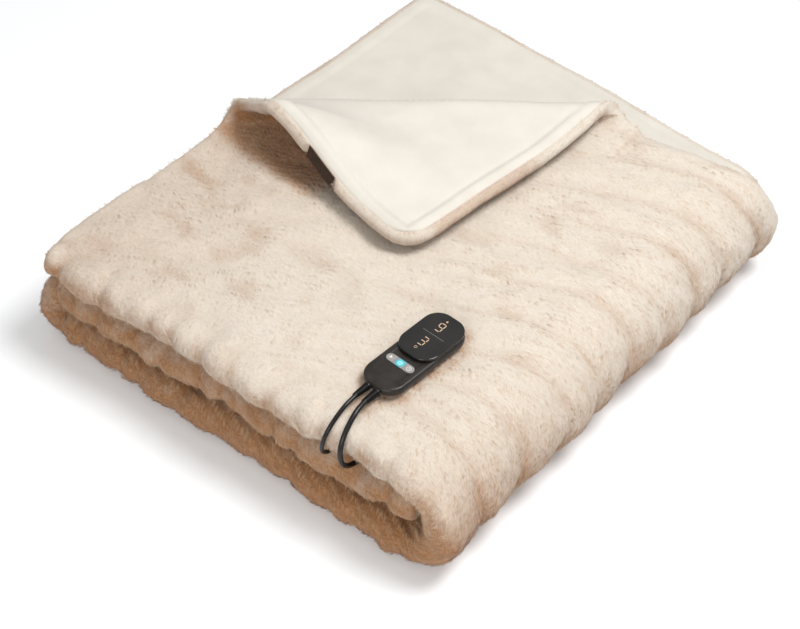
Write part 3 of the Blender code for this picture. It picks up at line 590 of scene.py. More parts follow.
def add_cord(name, points, radius, material, *nodes):
    """A round cord on an evenly spaced smooth route, which starts inside the strain relief."""
    curve = bpy.data.curves.new(name, "CURVE")
    curve.dimensions = "3D"
    curve.bevel_depth = radius
    curve.bevel_resolution = 4
    curve.use_fill_caps = True
    fine = smooth_route([points[0] + (points[0] - points[1]).normalized() * 0.004, *points])
    lengths = np.concatenate(([0.0], np.cumsum(np.linalg.norm(np.diff(fine, axis=0), axis=1))))
    wanted = np.linspace(0, lengths[-1], round(lengths[-1] / LEAD_SPACING) + 1)
    spaced = [np.interp(wanted, lengths, fine[:, axis]) for axis in range(3)]
    spline = curve.splines.new("POLY")
    spline.points.add(len(wanted) - 1)
    spline.points.foreach_set("co", np.column_stack((*spaced, np.ones(len(wanted)))).ravel())
    cord = new_object(name, curve, material)
    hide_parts(*nodes)
    return cord


# ---------------- camera, light and floor


def add_staged(name, data, place):
    made = bpy.data.objects.new(name, data)
    bpy.context.scene.collection.objects.link(made)
    made.location = place
    return made


def add_camera():
    data = bpy.data.cameras.new("camera")
    data.lens = 87.03
    data.sensor_width = 36.0
    data.clip_end = 20.0
    camera = add_staged("camera", data, (1.0632, -1.3491, 1.6448))
    camera.rotation_euler = (radians(45.5), 0.0, radians(39.11))
    bpy.context.scene.camera = camera


def add_area_light(name, place, target, power):
    data = bpy.data.lights.new(name, "AREA")
    data.shape = "DISK"
    data.size = 1.0
    data.energy = power
    lamp = add_staged(name, data, place)
    lamp.rotation_euler = (Vector(target) - Vector(place)).to_track_quat("-Z", "Y").to_euler()


def add_studio():
    scene = bpy.context.scene
    scene.view_settings.view_transform = "Standard"
    world = bpy.data.worlds.new("studio")
    scene.world = world
    world.use_nodes = True
    tree = world.node_tree
    direction = tree.nodes.new("ShaderNodeTexCoord")
    split = tree.nodes.new("ShaderNodeSeparateXYZ")
    sky = tree.nodes.new("ShaderNodeValToRGB")
    sky.color_ramp.elements[0].color = (0.20, 0.20, 0.20, 1.0)
    sky.color_ramp.elements[1].color = (1.0, 1.0, 1.0, 1.0)
    sky.color_ramp.elements[1].position = 0.9
    tree.links.new(direction.outputs["Generated"], split.inputs[0])
    tree.links.new(split.outputs["Z"], sky.inputs[0])
    tree.links.new(sky.outputs[0], tree.nodes["Background"].inputs["Color"])
    tree.nodes["Background"].inputs["Strength"].default_value = 0.66
    add_area_light("key", (0.90, 0.32, 2.25), (0.0, 0.0, 0.1), 45.0)
    add_area_light("front", (0.70, -2.10, 1.05), (0.0, -0.1, 0.08), 17.0)
    mesh = bpy.data.meshes.new("floor")
    mesh.from_pydata([(x, y, 0) for y in (-6, 6) for x in (-6, 6)], [], [(0, 1, 3, 2)])
    pale, glow = (0.865, 0.88, 0.89), (1.0, 1.0, 1.0)
    white = Nodes("floor").shade(Base_Color=pale, Roughness=0.9, Emission_Color=glow, Emission_Strength=0.10)
    mesh.materials.append(white)
    add_staged("floor", mesh, (0.0, 0.0, -0.0002))


# ---------------- relief of the pile

UNDERCOAT = 0.0142
RELIEF = 0.0046
WIDE_RIDGES = 0.072
NARROW_RIDGES = 0.036
SCALLOPS = 0.054
RIDGE_BENDS = ((0.0, 0.40, 0.50, 0.56, 0.62, 0.72), (0.0, 0.17, 0.205, 0.212, 0.20, 0.155))
LIGHT_WAY = np.array((0.33, 0.28, 0.90))
FLOOR_SIDE_FUR = FUR - 0.0004
LABEL_START = 0.166
LABEL_LENGTH = 0.047
LABEL_DROP = 0.0125
LABEL_LEAN = 0.0050
LABEL_THICKNESS = 0.0010
LABEL_CLEARANCE = 0.0004
LABEL_RUN = SIDE_RUN * (1 - (TURN_START[1] - FRONT - DOUBLE) / (TOP_HEM - DOUBLE))
LABEL_TOP = LABEL_RUN - pi * TURN_NEUTRAL - LABEL_START


def bell(value, width):
    return np.exp(-((value / width) ** 2))


def pile_relief(u, v):
    """(height from about -1 to 1, how far the pile parts from 0 to 1, with painted shade in low places and
    creases) at these places of the flat cloth.
    """
    warp_u = u + 0.016 * noise(u / 0.10, v / 0.10, 11)
    warp_v = v + 0.020 * noise(u / 0.13, v / 0.10, 12)
    to_fold = bell(v - FOLD_MIDDLE, 0.034) * (0.75 + 0.5 * noise(u / 0.11, v / 0.5, 30))
    to_right = smooth_step((u - 0.22) / 0.24) * (1 - smooth_step((u - ROLL_END) / 0.05))
    bend = np.interp(u, *RIDGE_BENDS)
    wide = np.abs(np.cos(pi * (warp_v + bend) / WIDE_RIDGES))
    phase = 2 * pi * (warp_v + bend * 0.8) / NARROW_RIDGES
    narrow = np.cos(phase + 2.2 * noise(u / 0.09, v / 0.06, 21))
    scallop = np.abs(np.cos(pi * (warp_u + 0.030 * noise(u / 0.06, v / 0.09, 22)) / SCALLOPS))
    small = noise(warp_u / 0.021, warp_v / 0.017, 45)
    broad = noise(warp_u / 0.085, warp_v / 0.075, 23) + 0.7 * noise(warp_u / 0.036, warp_v / 0.030, 25)
    patchy = 0.65 + 0.35 * noise(u / 0.12, v / 0.09, 27)
    ridges = (wide**0.8 * 2 - 1.3) * (0.28 + 0.62 * smooth_step((u - 0.38) / 0.20)) + 0.26 * narrow * patchy
    height = (broad + 0.35 * small) * 0.60
    height = height + to_right * (ridges * 0.78 + 0.25 * small - height * 0.6) * (1 - 0.5 * to_fold)
    lumps = 0.45 * noise(u / 0.019, v / 0.015, 44)
    height = height + to_fold * ((scallop * 2 - 1.25) * 0.85 - height * 0.5 + lumps)
    ragged = 0.3 * noise(u / 0.014, v / 0.011, 37)
    dimple = smooth_step((noise(warp_u / 0.050, warp_v / 0.034, 24) + ragged - 0.16) / 0.62)
    dimple = dimple * (0.35 + 0.65 * smooth_step(0.5 + noise(u / 0.16, v / 0.16, 28)))
    left_part = 1 - smooth_step((u - 0.03) / 0.26)
    # Browner in low places and in the creases between ridges and scallops: painted shade, together with the
    # roots that show where the pile parts.
    hollow = smooth_step((-0.05 - height) / 0.9)
    parting_and_shade = (0.30 + 0.14 * left_part) * dimple + 0.32 * hollow + 0.24 * left_part
    parting_and_shade = np.maximum(parting_and_shade, to_right * smooth_step((0.30 - wide) / 0.30) * 0.25)
    parting_and_shade = np.maximum(parting_and_shade, to_fold * smooth_step((0.35 - scallop) / 0.35) * 0.4)
    return height - dimple * 0.22, np.clip(parting_and_shade, 0, 1)


def shade_turned_from_light(out):
    """Painted shade: how far a face that looks this way is turned from the light, which browns the pile's
    colour there.
    """
    return smooth_step((0.72 - out @ LIGHT_WAY) / 1.05)


def from_controller(x, y, half_width, half_length, middle=0.0):
    """How far a place lies from a bar of this half width and half length along the controller."""
    x, y = x - CONTROLLER_X, y - CONTROLLER_Y
    aside = x * cos(CONTROLLER_TURN) + y * sin(CONTROLLER_TURN)
    lengthwise = y * cos(CONTROLLER_TURN) - x * sin(CONTROLLER_TURN) - middle
    past_side, past_end = np.abs(aside) - half_width, np.abs(lengthwise) - half_length
    return np.hypot(np.maximum(past_side, 0), np.maximum(past_end, 0))


def top_place(u, v):
    """Where a place of the flat cloth's outer sheet lies on the top layer, before the corner is turned."""
    return TOP_LEFT + u, FRONT + DOUBLE + (TOP_HEM - DOUBLE) * (SIDE_RUN - v) / SIDE_RUN


def tapered_place(u, v):
    x, y = top_place(u, v)
    return x, y - DEPTH_TAPER * (y - FRONT) * u / (OUTER_TURN_X - TOP_LEFT)


def beside_controller(u, v):
    """1 at the controller's foot on the top layer, 0 a little way off."""
    place = tapered_place(u, v)
    core = from_controller(*place, 0.005, 0.043) - 0.0215
    cords = from_controller(*place, 0.006, 0.012, -0.078) - 0.002
    near = bell(np.maximum(np.minimum(core, cords), 0), 0.009)
    ragged = 0.65 + 0.55 * noise(u / 0.014, v / 0.014, 33)
    return near * ragged * (u < TOP_END) * (v < SIDE_RUN)


def shadow_under_arch(u, v):
    """Painted shadow: 1 in the hollow under the turned-back corner's arch, 0 in the open."""
    x, y = tapered_place(u, v)
    hem_way = 2 * TURN_ALONG[1] * TURN_ALONG - np.array((0.0, 1.0))
    ahead, inside = from_turn(x, y, hem_way), from_turn(x, y, (-hem_way[1], hem_way[0]))
    deep = smooth_step((inside + 0.020) / 0.026) * smooth_step((0.205 - ahead) / 0.06)
    return deep * smooth_step((ahead + 0.02) / 0.03) * (u < TURNED_PART) * (v < SIDE_RUN)


def on_flap(u, v):
    """1 on the turned-back corner, where the fleece side is seen."""
    beyond = from_turn(*top_place(u, v))
    return smooth_step((beyond - pi * TURN_NEUTRAL) / 0.02) * (v < SIDE_RUN) * (u < TURNED_PART)


def opened_and_shaded_pile(u, v, out):
    """How far the pile is open, with painted shade, at these places of the cloth, which face this way."""
    _, parting_and_shade = pile_relief(u, v)
    # Painted contact shadow round the controller's foot, with the browner tufts of the pile pressed there.
    parting_and_shade = np.maximum(parting_and_shade, 0.95 * beside_controller(u, v))
    # Painted shadow under the arch.
    parting_and_shade = np.maximum(parting_and_shade, 1.15 * shadow_under_arch(u, v))
    lower_layer = smooth_step((u - ROLL_MIDDLE) / 0.08)
    middle_layer = smooth_step((u - BOTTOM_END) / 0.05)
    tufts = 0.18 * noise(u / 0.020, v / 0.016, 29) + 0.12 * noise(u / 0.008, v / 0.007, 35)
    patches = 0.22 * noise(u / 0.050, v / 0.20, 36)
    # Painted shade: faces turned from the light, the lower layers under the top one, the roll's upper half
    # near the front and the front tip are browned, with random tufts and patches.
    folded = (0.44 + patches + tufts) * (1 - 0.4 * lower_layer) + 0.25 * parting_and_shade
    lower_layer_shade = lower_layer * np.maximum(0.90 - 0.20 * middle_layer + tufts, 0.62)
    near_front = bell(v - SIDE_RUN, 0.28)
    roll_shade = smooth_step((u - TOP_END) / 0.13) * (1 - lower_layer)
    roll_shade = roll_shade * (0.07 + 0.46 * near_front + 0.5 * patches + tufts)
    tip = bell(u - ROLL_END, 0.12) * bell(v - SIDE_RUN, 0.07)
    opened = parting_and_shade * 0.75 + shade_turned_from_light(out) * folded + lower_layer_shade + roll_shade + 0.35 * tip
    return np.clip(opened * (1 - 0.55 * on_flap(u, v)), 0, 1)


def edge_distance(u, v):
    """How far inside the cloth's edge a place of the flat cloth lies."""
    return np.minimum(np.minimum(u, CLOTH_LENGTH - u), np.minimum(v, CLOTH_WIDTH - v))


def beside_label(u, v):
    """0 where the label is sewn on, so that no pile bulges over it, and 1 elsewhere."""
    from_label = np.abs(v - LABEL_TOP + LABEL_LENGTH / 2) - LABEL_LENGTH / 2
    return np.where(u < CLOTH_LENGTH / 2, smooth_step((from_label - 0.001) / 0.006), 1.0)


def undercoat_offset(u, v):
    """How far out the wool stands, thinner at the hems and pressed flat on the floor."""
    height, _ = pile_relief(u, v)
    floor_side = smooth_step((u - ROLL_END + 0.01) / 0.03) * (1 - smooth_step((u - BOTTOM_END) / 0.02))
    thick = UNDERCOAT + RELIEF * height * (1 - 0.8 * np.clip(beside_controller(u, v), 0, 1))
    thick = thick + (FLOOR_SIDE_FUR - thick) * floor_side * (v < SIDE_RUN * 0.97)
    edge = np.clip((edge_distance(u, v) + 0.0045 * beside_label(u, v)) / 0.020, 0, 1)
    return FLEECE + SKIN_GAP + thick * (0.78 + 0.22 * np.sqrt(1 - (1 - edge) ** 2))


# ---------------- the cloth

CORNER_RADIUS = 0.040
FAR_CORNER_RADIUS = 0.022
FLEECE_HEM_START = 0.0028
FLEECE_HEM_WIDTH = 0.017


def stations(*parts):
    """Places from 0 on: parts lists (where a stretch ends, the steps in it)."""
    placed, start = [], 0.0
    for end, step in parts:
        placed.append(np.linspace(start, end, round((end - start) / step) + 1)[:-1])
        start = end
    return np.concatenate((*placed, [start]))


ALONG_STATIONS = stations(
    (0.024, 0.004),
    (TOP_END, 0.0068),
    (ROLL_END, 0.0062),
    (BOTTOM_END, 0.0095),
    (INNER_TURN_END, 0.0058),
    (CLOTH_LENGTH - 0.024, 0.0082),
    (CLOTH_LENGTH, 0.004),
)
ACROSS_STATIONS = stations(
    (0.024, 0.004),
    (SIDE_RUN - 0.010, 0.0068),
    (FOLD_END + 0.010, 0.0036),
    (FOLD_END + 0.060, 0.008),
    (CLOTH_WIDTH - 0.070, 0.030),
    (CLOTH_WIDTH - 0.024, 0.009),
    (CLOTH_WIDTH, 0.004),
)
FLEECE_SHOWS = (ALONG_STATIONS < TURNED_PART + 0.03) | (ALONG_STATIONS > CLOTH_LENGTH - 0.03)
FLEECE_STATIONS = ALONG_STATIONS[FLEECE_SHOWS | (np.arange(len(ALONG_STATIONS)) % 2 == 0)]


def corner_radius(u, v):
    return np.where((u < CLOTH_LENGTH / 2) & (v > CLOTH_WIDTH / 2), FAR_CORNER_RADIUS, CORNER_RADIUS)


def round_corners(u, v):
    """Draws a square corner of the flat cloth in to a round one."""
    radius = corner_radius(u, v)
    out_u = np.maximum(np.maximum(radius - u, u - CLOTH_LENGTH + radius), 0)
    out_v = np.maximum(np.maximum(radius - v, v - CLOTH_WIDTH + radius), 0)
    share = np.maximum(out_u, out_v) / np.maximum(np.hypot(out_u, out_v), 1e-9)
    pull = np.where((out_u > 0) & (out_v > 0), 1 - share, 0)
    inward_u = np.where(u < CLOTH_LENGTH / 2, 1, -1)
    inward_v = np.where(v < CLOTH_WIDTH / 2, 1, -1)
    return u + inward_u * out_u * pull, v + inward_v * out_v * pull


def inward_of(u, v):
    """The unit vectors from places on the flat cloth's edge into the cloth."""
    radius = corner_radius(u, v)
    centre_u = np.clip(u, radius, CLOTH_LENGTH - radius)
    centre_v = np.clip(v, radius, CLOTH_WIDTH - radius)
    return unit(np.stack((centre_u - u, centre_v - v), axis=-1))


def rimmed_sheet(name, u_stations, offset_of, rim, turn=1):
    """The folded cloth's face with rows round its edge: rim lists (how far in, share of offset, rest)."""
    grid = np.meshgrid(u_stations, ACROSS_STATIONS, indexing="ij")
    faces, edge = grid_faces(np.arange(grid[0].size).reshape(grid[0].shape))
    u, v = round_corners(grid[0].ravel(), grid[1].ravel())
    edge_u, edge_v = u[edge], v[edge]
    inward = inward_of(edge_u, edge_v)
    layers, flat = [cloth_points(u, v, offset_of(u, v))], [np.column_stack((u, v))]
    bulging = beside_label(edge_u, edge_v) * (1 + 0.8 * on_flap(edge_u, edge_v))
    first, total = edge, len(u)
    for inset, share, rest in rim:
        inset = inset * bulging if inset < 0 else inset
        rim_u, rim_v = edge_u + inward[:, 0] * inset, edge_v + inward[:, 1] * inset
        flat.append(np.column_stack((rim_u, rim_v)))
        layers.append(cloth_points(rim_u, rim_v, offset_of(rim_u, rim_v) * share + rest))
        second = total + np.arange(len(edge))
        strip = np.stack((second, np.roll(second, -1), np.roll(first, -1), first), axis=-1)
        faces = np.concatenate((faces, strip))
        first, total = second, total + len(edge)
    faces, flat = faces[:, ::turn], np.concatenate(flat)
    mesh = mesh_from_arrays(name, np.concatenate(layers), faces)
    add_uv(mesh, "flat_cloth", flat[faces.ravel()])
    return mesh, flat


def mark_parting_and_shade(mesh, flat):
    """Stores how far the pile parts, with its painted shade, at each point of its mesh."""
    out = np.empty(len(flat) * 3, dtype=np.float32)
    mesh.vertex_normals.foreach_get("vector", out)
    store_strand(mesh, np.repeat(opened_and_shaded_pile(*flat.T, out.reshape(-1, 3)), 4))


def store_strand(mesh, values):
    layer = mesh.attributes.new("strand", "FLOAT_COLOR", "POINT")
    layer.data.foreach_set("color", values.astype(np.float32).ravel())


def fleece_offset(u, v):
    """The hem stands up as a round roll from the fleece's face, most of all on the turned-back corner."""
    inside = edge_distance(u, v) - FLEECE_HEM_START
    share = np.clip(inside / FLEECE_HEM_WIDTH, 0, 1)
    roll = np.sqrt(np.maximum(1 - (2 * share - 1) ** 2, 0))
    seam = bell(inside - FLEECE_HEM_WIDTH, 0.0022)
    return -(0.0012 + 0.0026 * on_flap(u, v)) * roll + 0.0006 * seam


def add_cloth():
    rim = [(-0.0030, 0.86, 0), (-0.0044, 0.58, 0), (-0.0044, 0.30, 0), (-0.0030, 0, 0.0004)]
    rim += [(-0.0006, 0, -0.0008), (0.0026, 0, -0.0008), (0.0056, 0, 0.0008)]
    mesh, flat = rimmed_sheet("fur_cloth", ALONG_STATIONS, undercoat_offset, rim, -1)
    mark_parting_and_shade(mesh, flat)
    fur = add_solid("fur_cloth", mesh, undercoat_material(), "fur_face")
    mesh, _ = rimmed_sheet("fleece_cloth", FLEECE_STATIONS, fleece_offset, [(0.0008, 0, 0.0026)])
    return fur, add_solid("fleece_cloth", mesh, fleece_material(), "fleece_back")


# ---------------- the long strands of the pile

STRAND_LENGTH = 0.0100
STRAND_WIDTH = 0.00050
STRAND_CANDIDATES = 1500000
STRANDS_A_PIECE = 92000
STRAND_SHARE = 0.68
HEM_STRANDS = 36000
STEP = 0.0015
LOCK_LENGTH = 0.0105
LOCK_WIDTH = 0.0050
PRESSED_TOP = TOP_FUR - 0.0008


def fading(value, start, end):
    """1 up to start, 0 from end on."""
    return 1 - smooth_step((value - start) / (end - start))


def column(values):
    return values[:, None]


def strand_density(u, v):
    """How densely strands are set: 1 where the pile shows, and few where layers lie on each other."""
    outer = v < FOLD_MIDDLE
    from_fold = np.abs(v - FOLD_MIDDLE)
    bottom = (u > ROLL_END + 0.01) & (u < BOTTOM_END - 0.01)
    shown = np.where(bottom & outer, 0.06, outer & (u <= INNER_TURN_END))
    shown = np.maximum(shown, fading(from_fold, 0.050, 0.080))
    shown = np.maximum(shown, 0.9 * fading(np.minimum(v, CLOTH_WIDTH - v), 0.018, 0.040))
    shown = np.maximum(shown, 0.9 * fading(u, 0.030, 0.060) * (from_fold < 0.40))
    turned = np.maximum(0.22, fading(edge_distance(u, v), 0.030, 0.060))
    return np.where(on_flap(u, v) > 0.5, turned, shown)


def cloth_frame(u, v, offset_of):
    """Points of the pile with their directions along and across the cloth, out of it and off its edge."""
    point = cloth_points(u, v, offset_of(u, v))
    step_u = np.where(u > CLOTH_LENGTH - 2 * STEP, -STEP, STEP)
    step_v = np.where(v > CLOTH_WIDTH - 2 * STEP, -STEP, STEP)
    further_u = cloth_points(u + step_u, v, offset_of(u + step_u, v))
    further_v = cloth_points(u, v + step_v, offset_of(u, v + step_v))
    tangent_u = unit((further_u - point) * column(np.sign(step_u)))
    tangent_v = unit((further_v - point) * column(np.sign(step_v)))
    inward = inward_of(u, v)
    off_edge = -(tangent_u * inward[:, :1] + tangent_v * inward[:, 1:])
    return point, tangent_u, tangent_v, unit(np.cross(tangent_v, tangent_u)), off_edge


def combed_direction(u, v, tangent_u, tangent_v, off_edge, rng):
    """The way the nap lies: along the cloth, over the front fold, swirling a little, outward at the edges."""
    swirl = 0.50 * noise(u / 0.085, v / 0.085, 31) + 0.45 * noise(u / 0.026, v / 0.026, 32)
    angle = radians(24) + radians(46) * bell(v - SIDE_RUN, 0.060) + swirl
    angle = angle + rng.normal(0, 0.12, len(u))
    combed = tangent_u * column(np.cos(angle)) + tangent_v * column(np.sin(angle))
    pull = column(np.exp(-edge_distance(u, v) / 0.007))
    return unit(combed * (1 - pull) + off_edge * pull * 1.2)


def locks(u, v):
    """How far along and across each strand roots from its lock's middle, how near its rim, and a chance."""
    turn = np.where(np.abs(v - FOLD_MIDDLE) < 0.045, radians(68), radians(24))
    swayed = u + 0.004 * noise(u / 0.03, v / 0.03, 39)
    sideways = (v * np.cos(turn) - swayed * np.sin(turn)) / LOCK_WIDTH
    row = np.floor(sideways).astype(int)
    shifted = (swayed * np.cos(turn) + v * np.sin(turn)) / LOCK_LENGTH + 0.37 * row
    place = np.floor(shifted).astype(int)
    chance, jitter_s, jitter_t = np.random.default_rng(43).random((3, 128, 128))[:, row % 128, place % 128]
    share_s = shifted - place - 0.5 - 0.4 * (jitter_s - 0.5)
    share_t = sideways - row - 0.5 - 0.4 * (jitter_t - 0.5)
    from_s, from_t = share_s * LOCK_LENGTH, share_t * LOCK_WIDTH
    from_u = from_s * np.cos(turn) - from_t * np.sin(turn)
    from_v = from_s * np.sin(turn) + from_t * np.cos(turn)
    return from_u, from_v, np.clip(np.hypot(share_s, share_t) * 2, 0, 1.2), chance


def kite_strands(root, out, lie, length, width, rise, facing, gather, rng):
    """Four points and four normals a strand: a narrow root, two shoulders and a tip that bends back down."""
    count = len(root)
    side = unit(np.cross(out, lie))
    curl = column(rng.normal(0, 0.30, count))
    roll = column(rng.normal(0, 0.30, count))
    later = rise - radians(12) + rng.normal(0, 0.10, count)
    first, second = 0.42 * length, 0.58 * length
    shoulder = root + lie * column(first * np.cos(rise)) + out * column(first * np.sin(rise)) + gather * 0.4
    bent = unit(lie + side * curl)
    lifted = shoulder + gather * 0.4 + out * column(second * np.sin(later))
    tip = lifted + bent * column(second * np.cos(later))
    half = (side * np.cos(roll) + out * np.sin(roll)) * column(width / 2)
    facing = unit(facing * 0.95 + lie * 0.05 + side * roll * 0.10)
    normals = facing, unit(facing - side * 0.20), unit(facing + side * 0.20), facing
    return np.stack((root, shoulder - half, shoulder + half, tip), axis=1), np.stack(normals, axis=1)


def off_label(u, v):
    """Whether a place of the flat cloth lies clear of the label and what hangs behind it."""
    return (u > 0.020) | (v > LABEL_TOP + 0.003) | (v < LABEL_TOP - LABEL_LENGTH - 0.003)


def clear_controller(points):
    """Presses strands flat where the controller lies on them, and keeps all of them above the floor."""
    x, y, z = points[..., 0], points[..., 1], points[..., 2]
    under = (from_controller(x, y, 0.005, 0.043) < 0.0215) & (z > PRESSED_TOP) & (z < TOP_FUR + 0.03)
    points[..., 2] = np.maximum(np.where(under, PRESSED_TOP, z), 0.0012)
    return points


def strand_mesh(name, points, normals, shade):
    """One mesh of many strands. shade has a row of chance and of how far the pile parts, with painted shade,
    for each strand.
    """
    count = len(points)
    base = column(np.arange(count)) * 4
    faces = np.concatenate((base + np.array((0, 1, 2)), base + np.array((1, 3, 2))), axis=1).reshape(-1, 3)
    mesh = mesh_from_arrays(name, points.reshape(-1, 3), faces)
    mesh.normals_split_custom_set_from_vertices(normals.reshape(-1, 3))
    height = np.tile(np.array((0.0, 0.5, 0.5, 1.0)), count)
    store_strand(mesh, np.stack((height, *np.repeat(shade, 4, axis=0).T, np.ones(count * 4)), axis=1))
    side = int(np.ceil(np.sqrt(count)))
    cell = np.stack((np.arange(count) % side, np.arange(count) // side), axis=1)[:, None, :]
    within = np.array(((0.5, 0.1), (0.1, 0.5), (0.9, 0.5), (0.5, 0.9)))
    add_uv(mesh, "OFBake", ((cell + within) / side).reshape(-1, 2)[faces.ravel()])
    return mesh


def pile_strands(rng):
    u = rng.random(STRAND_CANDIDATES) * (CLOTH_LENGTH - 0.001) + 0.0005
    v = rng.random(STRAND_CANDIDATES) * (CLOTH_WIDTH - 0.001) + 0.0005
    chosen = rng.random(STRAND_CANDIDATES) < strand_density(u, v) * STRAND_SHARE
    chosen &= off_label(u, v)
    u, v = round_corners(u[chosen], v[chosen])
    point, tangent_u, tangent_v, out, off_edge = cloth_frame(u, v, undercoat_offset)
    parting_and_shade = opened_and_shaded_pile(u, v, out)
    lie = combed_direction(u, v, tangent_u, tangent_v, off_edge, rng)
    count = len(u)
    chance = rng.random(count)
    length = STRAND_LENGTH * (0.70 + 0.45 * rng.random(count)) * (1 - 0.25 * parting_and_shade)
    length *= 0.55 + 0.45 * np.clip(edge_distance(u, v) / 0.020, 0, 1)
    from_u, from_v, near_rim, lock_chance = locks(u, v)
    from_lock = tangent_u * column(from_u) + tangent_v * column(from_v)
    on_roll = smooth_step((u - TOP_END + 0.06) / 0.10) * (u < BOTTOM_END)
    ruffled = 0.70 + 0.9 * parting_and_shade + 0.5 * on_roll + 0.35 * noise(u / 0.09, v / 0.07, 40)
    ruffled = np.clip(ruffled, 0.35, 1) * (1 - 0.4 * (u > INNER_TURN_END))
    lean = from_lock / np.maximum(np.linalg.norm(from_lock, axis=1, keepdims=True), LOCK_WIDTH / 2)
    facing = unit(out + lean * column(0.46 * ruffled))
    rise = radians(7) + rng.normal(0, 0.06, count) + 0.22 * parting_and_shade
    # Painted shade on strands near the rim of their lock, in the gaps between locks, with a random tone for
    # each lock.
    lock_shade_and_tone = (0.36 + 0.20 * on_roll) * (near_rim - 0.45) + 0.32 * (lock_chance - 0.5)
    shade = np.column_stack((chance, np.clip(parting_and_shade + ruffled * lock_shade_and_tone, 0, 1)))
    width = STRAND_WIDTH * (0.7 + 0.6 * rng.random(count))
    gather = -from_lock * column(0.9 * ruffled)
    return *kite_strands(point - out * 0.0006, out, lie, length, width, rise, facing, gather, rng), shade


def hem_strands(rng):
    """Strands that stand out round the cloth's edge, from the fur side over to the fleece's hem."""
    half_way = CLOTH_LENGTH + CLOTH_WIDTH
    place = rng.random(HEM_STRANDS) * 2 * half_way
    u = np.clip(np.where(place > half_way, CLOTH_LENGTH + half_way - place, place), 0, CLOTH_LENGTH)
    v = np.where(place > CLOTH_LENGTH + half_way, 2 * half_way - place, place - CLOTH_LENGTH)
    u, v = round_corners(u, np.clip(v, 0, CLOTH_WIDTH))
    clear = off_label(u, v)
    place, u, v = place[clear], u[clear], v[clear]
    count = len(place)
    point, _, _, out, off_edge = cloth_frame(u, v, lambda u, v: np.full_like(u, 0.0042))
    outward = unit(off_edge)
    lowest = np.where(v > CLOTH_WIDTH / 2, radians(25), radians(-75))
    around = lowest + (radians(75) - lowest) * rng.random(count)
    cosine, sine = column(np.cos(around)), column(np.sin(around))
    radial = outward * cosine + out * sine
    root = point + outward * (0.0036 * cosine - 0.0006) + out * (0.0036 * sine)
    clump = 1.1 * noise(place / 0.012, place * 0 + 0.5, 42)
    sideways = column(0.35 + clump + rng.normal(0, 0.20, count))
    over = unit(out * cosine - outward * sine)
    lie = unit(np.cross(out, outward) * sideways - over * 0.55 + outward * 0.35)
    length = STRAND_LENGTH * (0.45 + 0.35 * rng.random(count))
    width = STRAND_WIDTH * (0.8 + 0.6 * rng.random(count))
    rise = radians(16) + rng.normal(0, 0.16, count)
    kites = kite_strands(root, radial, lie, length, width, rise, radial, np.zeros_like(radial), rng)
    tufts = np.clip(noise(place / 0.010, place * 0 + 0.5, 41) + 0.25, 0, 1)
    # Random brown tufts, and painted shade on hem strands turned from the light.
    parting_and_shade = np.clip(0.12 + 0.45 * tufts + 0.15 * shade_turned_from_light(radial), 0, 1)
    return *kites, np.column_stack((rng.random(count), parting_and_shade))


def add_strands():
    rng = np.random.default_rng(7)
    points, normals, shade = (np.concatenate(pair) for pair in zip(pile_strands(rng), hem_strands(rng)))
    points = clear_controller(points)
    material = strand_material()
    pieces = []
    shares = np.array_split(rng.permutation(len(points)), -(-len(points) // STRANDS_A_PIECE))
    for number, chosen in enumerate(shares):
        name = f"fur_strands_{number + 1}"
        mesh = strand_mesh(name, points[chosen], normals[chosen], shade[chosen])
        pieces.append(new_object(name, mesh, material))
        pieces[-1].visible_shadow = False  # fine strands let the light through
    return pieces


# ---------------- the label


def add_label():
    """A blank woven label that hangs from the turned-back corner's left hem."""
    grid = np.meshgrid(np.linspace(0, 1, 41), np.linspace(0, 1, 15), indexing="ij")
    lengthwise, down = grid[0].ravel(), grid[1].ravel()
    v = LABEL_TOP - LABEL_LENGTH * lengthwise
    hem, inside = (cloth_points(u, v, FLEECE * 0.5) for u in (0.0, 0.004))
    away = unit((hem - inside) * (1, 1, 0))
    wave = 0.0006 * np.sin(9 * lengthwise + 2 * down) * down
    front = hem + away * column(LABEL_CLEARANCE + LABEL_LEAN * down**1.3 + wave)
    front[:, 2] -= LABEL_DROP * down
    quads, border = grid_faces(np.arange(len(front)).reshape(grid[0].shape))
    back = len(front)
    rim = np.stack((border, np.roll(border, -1), np.roll(border, -1) + back, border + back), axis=-1)
    faces = np.concatenate((quads[:, ::-1], quads + back, rim))
    mesh = mesh_from_arrays("woven_label", np.concatenate((front, front + away * LABEL_THICKNESS)), faces)
    places = np.column_stack((lengthwise * LABEL_LENGTH, down * LABEL_DROP))
    add_uv(mesh, "tape", np.tile(places, (2, 1))[faces.ravel()])
    mesh.set_sharp_from_angle(angle=radians(50))
    return add_solid("woven_label", mesh, woven_material(), "label")


# ---------------- the hand controller

CONTROLLER_SIZE = (0.053, 0.129, 0.0215)
HOUSING_Z = TOP_FUR + 0.0004
HOUSING_HEIGHT = 0.0125
WINDOW_LENGTH = 0.075
WINDOW_HEIGHT = 0.0050
PART_GAP = 0.0003
STRIP_LENGTH = 0.0380
STRIP_WIDTH = 0.0110
KEY_STRIP_Y = 0.042 - CONTROLLER_SIZE[1] / 2
KEY_CLEARANCE = 0.0003
KEY_TOP = HOUSING_HEIGHT + 0.0008
KEY_FLOOR = HOUSING_HEIGHT - 0.0030
MIDDLE_KEY_LENGTH = 0.0120
RELIEF_LENGTH = 0.021
RELIEF_RADIUS = 0.0046
RELIEF_HEIGHT = 0.0062
RELIEF_ASIDE = 0.0068
RIBS = 7
GLASS_TOP = HOUSING_HEIGHT + PART_GAP + WINDOW_HEIGHT
SYMBOL_RISE = 0.00006
SYMBOL_X = 0.0125
DIGIT_X = -0.0015
DIGITS = (((1, 0, 1, 1, 0, 1, 1), 0.0150), ((1, 1, 1, 1, 0, 1, 1), 0.0425))
